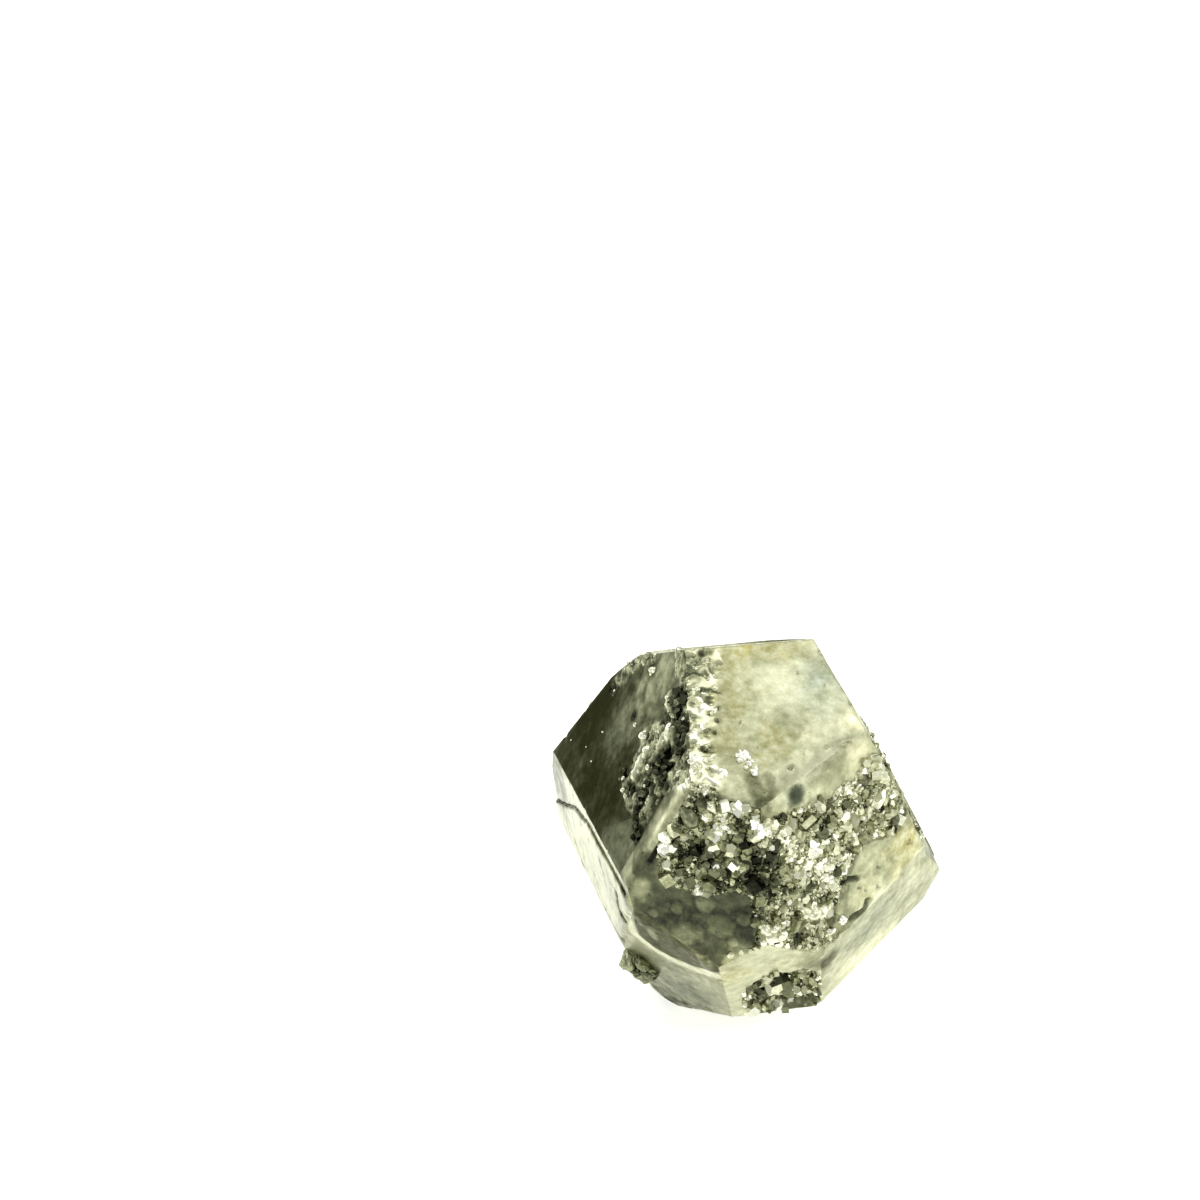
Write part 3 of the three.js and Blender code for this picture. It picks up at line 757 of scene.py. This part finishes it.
# Its material is bare pyrite, an iron sulphide with a metal's gloss: pale brass where it is clean and
# satin from fine growth lines, olive to black where it has tarnished, ochre where iron has rusted.
pyrite, tree, surface = new_material("pyrite_grown_faces")
surface.inputs["Metallic"].default_value = 1.0
in_mm = add(tree, "VectorMath", {0: add(tree, "TexCoord", {}, "Object"), "Scale": 1 / MM}, operation="SCALE")
face_place = add(tree, "Attribute", {}, "Vector", attribute_name="level_up")
tarnish_and_painted_light, ochre, steel, polish, crust = (add(tree, "Attribute", {}, "Fac", attribute_name=name)
                                        for name in traits_held)
stretched = add(tree, "VectorMath", {0: face_place, 1: (1.0, 0.09, 1.0)}, operation="MULTIPLY")
growth_lines = add(tree, "TexNoise", {"Vector": stretched, "Scale": 1 / 0.45, "Detail": 3.0})
clouds = add(tree, "TexNoise", {"Vector": in_mm, "Scale": 1 / 3.2, "Detail": 5.0})
mottle = add(tree, "TexNoise", {"Vector": in_mm, "Scale": 1 / 0.9, "Detail": 5.0, "Roughness": 0.6})
grains = add(tree, "TexNoise", {"Vector": in_mm, "Scale": 1 / 0.22, "Detail": 3.0})

# Clouds, mottling and growth lines make the tarnish uneven. Rust and a blue-grey film lie over it.
# The tarnish attribute holds the faces' painted highlights and painted shade as well as their tarnish.
depth = tarnish_and_painted_light
uneven_by = ((clouds, 0.4), (mottle, 0.4), (growth_lines, 0.04), (grains, 0.14))
for pattern, share in uneven_by:
    depth = add(tree, "Math", {0: pattern, 1: share, 2: depth}, operation="MULTIPLY_ADD")
middle = sum(share for _, share in uneven_by) / 2
depth = add(tree, "Math", {0: depth, 1: middle}, operation="SUBTRACT", use_clamp=True)
shade = add(tree, "ValToRGB", {"Fac": depth}, stops=(
    (0, "#F0F1DA"), (0.2, "#CFD0AF"), (0.42, "#9B9D7D"),
    (0.65, "#63664E"), (0.85, "#3A3C31"), (1, "#22241D")))
# The sockets of a Mix node that hold the colour under, the colour over it and the mixed one.
UNDER, OVER, MIXED = 6, 7, 2
patchy = add(tree, "MapRange", {"Value": mottle, "From Min": 0.35, "From Max": 0.65})
rust = add(tree, "Math", {0: ochre, 1: patchy}, operation="MULTIPLY", use_clamp=True)
rusty = add(tree, "Mix", {0: rust, UNDER: (1, 1, 1, 1), OVER: linear("#F6EBC2")}, MIXED, data_type="RGBA")
shade = add(tree, "Mix", {0: 1.0, UNDER: shade, OVER: rusty}, MIXED, data_type="RGBA", blend_type="MULTIPLY")
film = add(tree, "MapRange", {"Value": clouds, "From Min": 0.3, "From Max": 0.6})
film = add(tree, "Math", {0: film, 1: steel}, operation="MULTIPLY", use_clamp=True)
bluish = add(tree, "Mix", {0: film, UNDER: (1, 1, 1, 1), OVER: linear("#E2EAF6")}, MIXED, data_type="RGBA")
shade = add(tree, "Mix", {0: 1.0, UNDER: shade, OVER: bluish}, MIXED, data_type="RGBA", blend_type="MULTIPLY")
dots = add(tree, "TexVoronoi", {"Vector": in_mm, "Scale": 1 / 0.8})
dots = add(tree, "MapRange", {"Value": dots, "From Min": 0.11, "From Max": 0.05})
sparse = add(tree, "MapRange", {"Value": clouds, "From Min": 0.5, "From Max": 0.6, "To Max": 0.8})
dots = add(tree, "Math", {0: dots, 1: sparse}, operation="MULTIPLY")
shade = add(tree, "Mix", {0: dots, UNDER: shade, OVER: linear("#3A3A24")}, MIXED, data_type="RGBA")
tree.links.new(shade, surface.inputs["Base Color"])

# Tarnish is a dull skin, so that even a low look along it doesn't brighten it as it would bare metal.
skin = add(tree, "ValToRGB", {"Fac": depth}, stops=((0.3, "#FFFFFF"), (0.85, "#BCBCB2")))
tree.links.new(skin, surface.inputs["Specular Tint"])
gloss = 0.3
for pattern, share in ((mottle, 0.25), (polish, -0.26), (crust, -0.08)):
    gloss = add(tree, "Math", {0: pattern, 1: share, 2: gloss}, operation="MULTIPLY_ADD", use_clamp=True)
tree.links.new(gloss, surface.inputs["Roughness"])
uneven = 0.0
for pattern, height in ((growth_lines, 0.003), (grains, 0.008), (mottle, 0.012)):
    uneven = add(tree, "Math", {0: pattern, 1: height, 2: uneven}, operation="MULTIPLY_ADD")
bump = add(tree, "Bump", {"Height": uneven, "Distance": MM, "Strength": 0.55})
tree.links.new(bump, surface.inputs["Normal"])
crystal.data.materials.append(pyrite)
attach(crystal, "root")
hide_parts("pyrite_crystal")

# The druse. Small crystals of the same pyrite in a belt over the front, with cubes, octahedra and
# twelve-faced ones side by side, bright or black. Smaller patches have grown on the right and the back.
CUBE = [(1, 0, 0), (0, 1, 0), (0, 0, 1)]
OCTAHEDRON = [(1, 1, 1), (-1, 1, 1), (1, -1, 1), (1, 1, -1)]
TWELVE = [(2, 1, 0), (2, -1, 0), (0, 2, 1), (0, 2, -1), (1, 0, 2), (-1, 0, 2)]


def grown_shape(families, rng):
    """One small crystal, about 1 across its half width: its points and its flat faces."""
    sides, far = [], []
    for directions, distance in families:
        for direction in directions:
            for sign in (1, -1):
                sides.append(unit(sign * np.array(direction, float)))
                far.append(distance * rng.uniform(0.82, 1.12))
    sides, far = np.array(sides), np.array(far)
    known, faces = {}, []
    for i in range(len(sides)):
        level, up = level_and_up(sides[i])
        ring = [sides[i] * far[i] + level * c[0] + up * c[1] for c in corners_of(i, sides, far)]
        face = [known.setdefault(tuple(np.round(p, 4) + 0.0), len(known)) for p in ring]
        face = [k for n, k in enumerate(face) if k != face[n - 1]]
        if len(face) > 2:
            faces.append(face)
    return np.array(list(known)), faces


rng = np.random.default_rng(11)
habits = [grown_shape([(CUBE, 0.9)], rng) for _ in range(2)]
habits += [grown_shape([(CUBE, 0.9), (OCTAHEDRON, 1.2)], rng) for _ in range(3)]
habits += [grown_shape([(TWELVE, 0.95)], rng) for _ in range(4)]
habits += [grown_shape([(OCTAHEDRON, 0.8), (CUBE, 0.95)], rng) for _ in range(3)]


def turned(rng, count):
    """Rotations in every direction."""
    a, b, c, d = unit(rng.normal(size=(count, 4))).T
    return np.array([[1 - 2 * (c * c + d * d), 2 * (b * c - a * d), 2 * (b * d + a * c)],
                     [2 * (b * c + a * d), 1 - 2 * (b * b + d * d), 2 * (c * d - a * b)],
                     [2 * (b * d - a * c), 2 * (c * d + a * b), 1 - 2 * (b * b + c * c)]]).transpose(2, 0, 1)


def spread(face, outlines, spacing, rng, margin=0.15):
    """Places scattered evenly over outlines on a face, in its level and up."""
    ring = np.array(corners_of(names.index(face), normals, reach))
    spots = grid(ring.min(0), ring.max(0), spacing)
    spots = spots + rng.uniform(-0.42, 0.42, spots.shape) * spacing
    spots = spots[distance_in(ring, spots) > margin]
    return spots[within(outlines, spots, 0.2) > rng.uniform(0.3, 0.9, len(spots))]


def grow_together(name, growths, shapes, material, sharp=True):
    """Joins small crystals or lumps in one mesh: growths are (places, half widths, tones)."""
    rng = np.random.default_rng(len(name))
    places, sizes, tones = (np.concatenate(g) for g in zip(*growths))
    kinds = rng.integers(0, len(shapes), len(places))
    turns = turned(rng, len(places))
    points, faces, tone, first = [], [], [], 0
    for kind, (shape, shape_faces) in enumerate(shapes):
        for k in np.flatnonzero(kinds == kind):
            stretch = rng.uniform(0.8, 1.2, 3)
            points.append((shape * stretch * sizes[k]) @ turns[k].T + places[k])
            faces += [[first + n for n in face] for face in shape_faces]
            tone.append(np.full(len(shape), tones[k]))
            first += len(shape)
    made = new_mesh(name, np.clip(np.vstack(points), *room_for), faces, sharp)
    write(made.data, "tone", np.concatenate(tone))
    made.data.materials.append(material)
    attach(made, "root")
    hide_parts("pyrite_crystal")
    return made


def grain_material(name, patch, share, shades, dullest, grit, relief):
    """Pyrite in small crystals or lumps, each with a tone from 0, bright, to 1, black. The patches that
    change the tone by a share and the grit each have a size in millimetres and a detail, and the relief
    is the grit's height and its strength."""
    material, tree, surface = new_material(name)
    surface.inputs["Metallic"].default_value = 1.0
    place = add(tree, "TexCoord", {}, "Object")
    in_mm = add(tree, "VectorMath", {0: place, "Scale": 1 / MM}, operation="SCALE")
    mottle = add(tree, "TexNoise", {"Vector": in_mm, "Scale": 1 / patch[0], "Detail": patch[1]})
    own = add(tree, "Attribute", {}, "Fac", attribute_name="tone")
    tone = add(tree, "Math", {0: mottle, 1: share, 2: own}, operation="MULTIPLY_ADD")
    tone = add(tree, "Math", {0: tone, 1: share / 2}, operation="SUBTRACT", use_clamp=True)
    stops = ((0, "#FFFFF2"), *shades, (0.75, "#515441"), (1, "#25271F"))
    skin_stops = ((0.4, "#FFFFFF"), (0.9, "#C4C4BA"))
    gloss = {"Value": mottle, "From Min": 0.25, "From Max": 0.75, "To Min": 0.2, "To Max": dullest}
    grains = add(tree, "TexNoise", {"Vector": in_mm, "Scale": 1 / grit[0], "Detail": grit[1]})
    for socket, made in {
        "Base Color": add(tree, "ValToRGB", {"Fac": tone}, stops=stops),
        "Specular Tint": add(tree, "ValToRGB", {"Fac": tone}, stops=skin_stops),
        "Roughness": add(tree, "MapRange", gloss),
        "Normal": add(tree, "Bump", {"Height": grains, "Distance": relief[0] * MM, "Strength": relief[1]}),
    }.items():
        tree.links.new(made, surface.inputs[socket])
    return material


# The druse's material: the same sulphide, mirror-bright on fresh little faces, and dark olive where the
# crystal is tarnished through.
druse_pyrite = grain_material(
    "pyrite_druse_crystals", patch=(0.35, 3.0), share=0.4, shades=((0.25, "#DADBBE"), (0.5, "#969875")),
    dullest=0.46, grit=(0.12, 2.0), relief=(0.02, 0.4))

# Each layer of the druse: the spacing, and the smallest and largest half width, in millimetres.
layers = [(1.05, 0.3, 0.62), (0.56, 0.16, 0.34), (0.3, 0.09, 0.19)]

# The tone of the crystals on a face, and spots that differ: the middle, the radius and the tone there.
tones_of = {
    "front": (0.56, [
        ((3.4, 7.1), 1.7, 0.76), ((3.9, 4.8), 1.3, 0.76), ((5.2, 3), 0.9, 0.6), ((6.2, 1.8), 1, 0.5),
        ((-2.9, 9.9), 0.9, 0.66), ((-1.1, 11.3), 0.7, 0.22), ((0.2, 10.4), 0.8, 0.3),
        ((0.3, 9.6), 0.7, 0.04), ((-0.2, 8.4), 0.6, 0.05), ((0.6, 11.9), 0.7, 0.12),
        ((-1.4, 10), 0.6, 0.15), ((-3.6, 7.9), 0.7, 0.3), ((-4.7, 6.7), 0.8, 0), ((-0.2, 7.4), 0.5, 0.25),
        ((1.8, 6.1), 0.6, 0.12), ((2, 8.8), 0.9, 0.8), ((1.8, 9.9), 0.5, 0.85), ((3.1, 10.4), 0.8, 0.1),
        ((-2, 12.3), 0.6, 0.8), ((-0.6, 13), 0.8, 0.75), ((-1.7, 7.4), 0.7, 0.95), ((-3.1, 6), 0.7, 0.95),
        ((-0.7, 6.1), 0.8, 0.92), ((0.6, 5), 1, 0.97), ((0.5, 3.9), 0.6, 0.95), ((-1.5, 4.2), 0.7, 0.35),
        ((-3, 3.4), 0.5, 0.3), ((-3.7, 4.6), 0.7, 0.4), ((-1, 2.9), 0.5, 0.12)]),
    "frontRight": (0.36, [
        ((5.8, 5.9), 2, 0.38), ((3.7, 7.6), 1.2, 0.5), ((-1.8, 9), 1.1, 0.62), ((-3.3, 9), 1.1, 0.76),
        ((0.8, 7.9), 1.1, 0.6), ((-4.2, 9.4), 0.9, 0.66), ((1.6, 9.5), 0.9, 0.14), ((0, 5.1), 0.9, 0.24),
        ((0.8, 3.5), 0.6, 0.88), ((-5.2, 8), 0.9, 0.16), ((-3.8, 6), 1.1, 0.14), ((-6, 6.7), 0.7, 0.1),
        ((-2.5, 3.6), 0.9, 0), ((-0.7, 1.8), 0.6, 0.05), ((-1.1, 4.3), 0.6, 0.1), ((-4.3, 4.7), 0.7, 0.14),
        ((-1.4, 2.2), 0.4, 0.8), ((-8.3, 8.4), 1, 0.84), ((-8.3, 6.2), 1.2, 0.84), ((-9.2, 4.9), 1.1, 0.82),
        ((-9.3, 3), 0.8, 0.55), ((-7.2, 5), 1, 0.55), ((-7.3, 3.8), 0.9, 0.64), ((-5, 2.9), 0.8, 0.56),
        ((-3.5, 2), 0.7, 0.35), ((-2.2, -0.2), 0.9, 0.58), ((-4.6, -0.1), 1, 0.2), ((-7.1, -1.4), 1, 0.78),
        ((-7, 1), 0.9, 0.72), ((-8.4, 0.3), 0.7, 0.4), ((-5.4, -2.8), 0.7, 0.35), ((-4.4, -5), 0.9, 0.5),
        ((6.4, 2.6), 0.5, 0.85), ((9, 4.9), 1.2, 0.35), ((4.6, 10.8), 0.6, 0.3), ((6.4, 11.3), 1.2, 0.12),
        ((7, 7.6), 1.1, 0.55), ((-8, 11.8), 0.6, 0.05), ((-6.2, 11.4), 0.9, 0.72)]),
    "top": (0.35, [
        ((-8.6, -5.2), 0.8, 0.15), ((-7.3, -6.4), 0.9, 0.75)]),
}

# Where the crystals are larger or smaller: the middle, the radius and by what share.
coarser_at = {"frontRight": ((6, 6), 5, 0.1), "front": ((1, 6), 3, 0.25), "right": ((-8, 4), 12, -0.5)}


def belt_growth(face, outlines, rng):
    """The three layers of crystals in a belt, sunk into it by a part of their width."""
    out = []
    own, patches = tones_of.get(face, (0.45, []))
    for spacing, smallest, largest in layers:
        spots = spread(face, outlines, spacing, rng)
        place, outward, _, _ = ground(face, spots)
        middle, radius, larger = coarser_at.get(face, ((0, 0), 1, 0))
        away = np.linalg.norm(spots - middle, axis=1) / radius
        size = rng.uniform(smallest, largest, len(spots)) * (1 + larger * np.exp(-(away**2)))
        tone = np.full(len(spots), own)
        for middle, radius, there in patches:
            tone += (there - tone) * np.exp(-((np.linalg.norm(spots - middle, axis=1) / radius) ** 2))
        tone += rng.normal(0, 0.14, len(spots)) - 0.25 * fractal(place, 1.2, 2, 51.0)
        sunk = size * rng.uniform(-0.5, 0.25, len(spots))
        out.append((place + outward * sunk[:, None], size, np.clip(tone, 0, 1)))
    return out


def set_on(face, spots, sizes, tones, rise=0.2):
    """Single crystals or lumps at (level, up) on a face, raised by a share of their half width."""
    spots, sizes = np.array(spots, float), np.broadcast_to(np.array(sizes, float), len(spots))
    place, outward, _, _ = ground(face, spots)
    tones = np.broadcast_to(np.array(tones, float), len(spots))
    return place + outward * (sizes * rise)[:, None], sizes, tones


rng = np.random.default_rng(23)
bright_front = [(-4.7, 7.3), (-4.8, 6.5), (-4.2, 6.5), (-4.7, 5.9), (0.2, 9.8), (-0.1, 9.2), (-0.2, 8.5),
                (0, 11.8), (1.1, 12), (1.4, 11.5), (-1.6, 10.2), (1.7, 6.1), (0.1, 5.7), (-1.1, 2.8),
                (2.8, 10.6), (3.3, 10.2), (3.5, 9.7)]
pale_low = [(4.4, -2.2), (3.6, -2.6), (2.7, -3.1), (4.9, -1.7)]
bright_right = [(-2.9, 3.9), (-2.3, 3.4), (-0.6, 1.8), (-6, 6.9), (-7.7, 9.4), (-3.6, 6.4), (-4.2, 4.7),
                (4.1, 10.3), (6.8, 5.8), (6.3, 9.4), (-1.1, 4.3), (-5.9, 8.3), (-7.2, 2.7), (-8.3, 12),
                (-7.7, 11.7), (-7.9, 11.2)]
grow_together("druse_front", belt_growth("front", belts["front"], rng) + belt_growth("top", belts["top"], rng)
              + [set_on("front", bright_front, [0.58] * 4 + [0.42] * 13, 0.0, 0.3),
                 set_on("front", pale_low, 0.3, 0.34, -0.3)],
              habits, druse_pyrite)
grow_together("druse_right_front", belt_growth("frontRight", belts["frontRight"], rng)
              + [set_on("frontRight", bright_right, 0.34, 0.03, 0.3)], habits, druse_pyrite)
patches = [g for face in ("right", "backLeft", "backFoot") for g in belt_growth(face, belts[face], rng)]
grow_together("druse_patches", patches, habits, druse_pyrite)

# The crust. Pyrite that has run together in rounded lumps along the edge between the top and the left
# face, pale and glossy on their backs, with black grains caught between them.


def lump_shape(rng, subdivisions=3, roughness=0.22):
    """A rounded, dented lump about 1 across its half width: its points and faces."""
    ball = bmesh.new()
    bmesh.ops.create_icosphere(ball, subdivisions=subdivisions, radius=1)
    points = np.array([v.co[:] for v in ball.verts])
    faces = [[v.index for v in f.verts] for f in ball.faces]
    ball.free()
    swell = 1 + roughness * fractal(points, 0.9, 3, rng.uniform(0, 50))
    return points * swell[:, None] * rng.uniform(0.75, 1.1, 3), faces


rng = np.random.default_rng(31)
lump_shapes = [lump_shape(rng) for _ in range(8)]
# The same sulphide again, run smooth: paler on the backs of the lumps, and a little coarser in its grit.
lump_pyrite = grain_material(
    "pyrite_lumpy_crust", patch=(0.4, 4.0), share=0.5, shades=((0.3, "#D4D5B6"), (0.55, "#919476")),
    dullest=0.44, grit=(0.15, 3.0), relief=(0.04, 0.5))


def crust_growth(face, spacing, smallest, largest, rng):
    """Lumps sunk into the crust, so that only their backs stand out of it, toned as the crust there is."""
    spots = spread(face, crusts[face], spacing, rng, 0.0)
    place, outward, belt, crust = ground(face, spots)
    size = rng.uniform(smallest, largest, len(spots))
    tones = look_of(face, spots, place, belt, crust)[:, 0] + rng.normal(0, 0.1, len(spots))
    return place - outward * (size * rng.uniform(0.6, 0.95, len(spots)))[:, None], size, np.clip(tones, 0, 1)


# Bright ledges on the left face, and tiny dots along its outline given the brightest tone as painted glints,
# in its level and up.
ledges = [(2, 6.4), (1.2, 13), (-3, 10.9), (6.6, 13.6), (7.5, 14.2), (6.5, 11.6), (-8.4, 8.6), (-8.7, 8.2),
          (-8.4, 8), (-0.2, 1.6), (1.1, 1.5), (2.2, 2), (3.4, 5.4), (-13.3, 3.7), (-12.2, 0.5), (-9.9, 9),
          (-4.7, 4.4)]
dots = [(-12.7, 3.3), (-12, 5.5), (-11.4, 7.2), (-5.9, 4.1), (-13.9, 2.8), (-12.7, -8.7), (-9.4, -5.5),
        (-6.8, -4.5), (-8.7, -2), (-12.3, 4.6), (-10.4, 6.9)]
grow_together("crust_lumps", [
    crust_growth("top", 1.4, 0.35, 0.7, rng),
    crust_growth("top", 0.8, 0.14, 0.3, rng),
    crust_growth("left", 1.2, 0.3, 0.6, rng),
    crust_growth("left", 0.65, 0.12, 0.28, rng),
    set_on("left", ledges, rng.uniform(0.24, 0.42, len(ledges)), 0.22, -0.35),
    set_on("left", dots, rng.uniform(0.07, 0.14, len(dots)), 0.0),
], lump_shapes, lump_pyrite, sharp=False)

scattered = [tuple(np.array(spot) + rng.normal(0, 0.35, 2)) for spot in dark_trail for _ in range(4)]
grow_together("dark_grains", [
    set_on("left", dark_trail[:5], 0.45, 0.8, 0),
    set_on("left", dark_trail[5:], 0.34, 0.88, 0),
    set_on("left", scattered, rng.uniform(0.12, 0.3, len(scattered)),
           rng.uniform(0.65, 1, len(scattered)), 0.2),
], habits, druse_pyrite)

# Rounded grains. Crystals whose faces have run together into smooth lumps: a white cluster on the top,
# a larger one low on the front, domes in the druse and a broad bluish-white one on the right.
white_top = [(-4.4, -3.2), (-3.95, -3.1), (-3.55, -3.4), (-3.55, -3.9), (-4.1, -3.75), (-4.5, -3.8),
             (-3.4, -4.4), (-3.9, -4.5), (-4.3, -4.7), (-3.9, -5.5), (-3.5, -5.2), (-8.2, -2.2)]
white_front = [(6.2, -0.3), (5.5, 0.3), (7, 0.2), (6.9, -0.8), (5.4, -0.9), (6.2, 0.7)]
broad_right = [(-5.8, 0.5), (-5, 0), (-4.2, -0.4), (-3.4, -0.8), (-2, -3), (-4.6, -2.9)]
grow_together("rounded_grains", [
    set_on("top", white_top, (0.3, 0.36, 0.34, 0.32, 0.38, 0.3, 0.28, 0.32, 0.26, 0.42, 0.3, 0.5), 0.0, 0.0),
    set_on("front", white_front, (0.8, 0.55, 0.55, 0.5, 0.5, 0.5), 0.2, 0.1),
    set_on("front", [(-2.9, 9.9), (-1.1, 11.3)], (0.95, 0.65), (0.64, 0.2), 0.1),
    set_on("frontRight", broad_right, (0.75, 0.85, 0.85, 0.7, 0.65, 0.36),
           (0.3, 0.24, 0.24, 0.3, 0.1, 0.2), 0),
], lump_shapes, lump_pyrite, sharp=False)

# The nodule. A dark lump of older sulphide that the crystal grew round, hanging on its left foot. Each
# of its swellings: the level, the up, the height over the face and the half width, of which a share is
# used. They get darker in this order.
swellings = [(-4.3, -5.2, 0.3, 1.2), (-2.9, -4.6, 0.3, 1.0), (-3.2, -7.8, 0.3, 1.25), (-4.6, -8.6, 0.1, 1.0),
             (-2.3, -6.4, 0.1, 0.95), (-4.8, -7, 0, 0.85), (-3.3, -6.2, 0.8, 0.6), (-4, -9.6, 0, 0.6)]
rng = np.random.default_rng(41)
big_lumps = [lump_shape(rng, subdivisions=5, roughness=0.3) for _ in range(4)]
nodule_share, nodule_tones = 0.92, (0.56, 0.78)
level, up, heights, sizes = np.array(swellings).T
foot_place, foot_outward, _, _ = ground("frontLeftFoot", np.column_stack((level, up)))
grow_together("foot_nodule", [
    (foot_place + foot_outward * heights[:, None], sizes * nodule_share,
     np.linspace(*nodule_tones, len(sizes))),
], big_lumps, lump_pyrite, sharp=False)

# The pit low on the front. A hollow left as the stone grew, with blocky crystals of the same pyrite,
# cream, grey and brown, fused to its walls and along its foot.
pit_spots = spread("frontFoot", [pit], 1.1, rng, 0.5)
pit_spots = pit_spots[distance_in(pit, pit_spots) > 0.4]
small_pit_spots = spread("frontFoot", [pit], 0.5, rng, 0.1)
# Crystals with a place of their own, on the floor and along the foot: the level, the up, the half width
# and the tone.
floor_bits = np.array([
    (-2.4, -7.5, 0.75, 0.12), (-1.6, -5.6, 0.6, 0.78), (-2.2, -3.6, 0.5, 0.7), (-0.5, -4.6, 0.8, 0.28),
    (-1.2, -2.8, 0.5, 0.25), (-1.2, -7.3, 0.5, 0.7), (-0.2, -7.4, 0.3, 0), (0.8, -5.4, 0.7, 0.6),
    (0.2, -3.1, 0.6, 0.8), (2.4, -3.9, 0.5, 0.22), (3.7, -4.9, 0.7, 0.5), (1.9, -4.6, 0.4, 0.4),
    (3.2, -7.3, 0.6, 0.35), (2.2, -7, 0.5, 0.42)])
foot_bits = np.array([
    (0.9, -7.6, 0.65, 0.25), (1.7, -8.6, 0.6, 0.5), (3.8, -8.3, 0.4, 0.02), (4.4, -8.5, 0.35, 0.04),
    (3.9, -8.9, 0.5, 0.45), (3, -8.8, 0.5, 0.15), (0.5, -9, 0.5, 0.04), (-0.9, -8.8, 0.5, 0.5),
    (-1, -8.1, 0.5, 0.5), (-2.3, -8.2, 0.6, 0.14), (2.4, -8, 0.35, 0.95), (-3, -7, 0.4, 0.2),
    (1.8, -9.1, 0.5, 0.1), (2.6, -9.2, 0.4, 0.3), (3.4, -9.3, 0.45, 0.15), (1.1, -9.4, 0.4, 0.5),
    (3.5, -8, 0.5, 0.3), (2.8, -8.4, 0.4, 0.7)])
grow_together("pit_crystals", [
    set_on("frontFoot", pit_spots, rng.uniform(0.35, 0.6, len(pit_spots)),
           rng.uniform(0.2, 0.75, len(pit_spots)), 0),
    set_on("frontFoot", small_pit_spots, rng.uniform(0.14, 0.3, len(small_pit_spots)),
           rng.uniform(0, 0.65, len(small_pit_spots)), 0.6),
    set_on("frontFoot", floor_bits[:, :2], floor_bits[:, 2], floor_bits[:, 3], 0.9),
    set_on("frontFoot", foot_bits[:, :2], foot_bits[:, 2], foot_bits[:, 3], 0.2),
], habits, druse_pyrite)
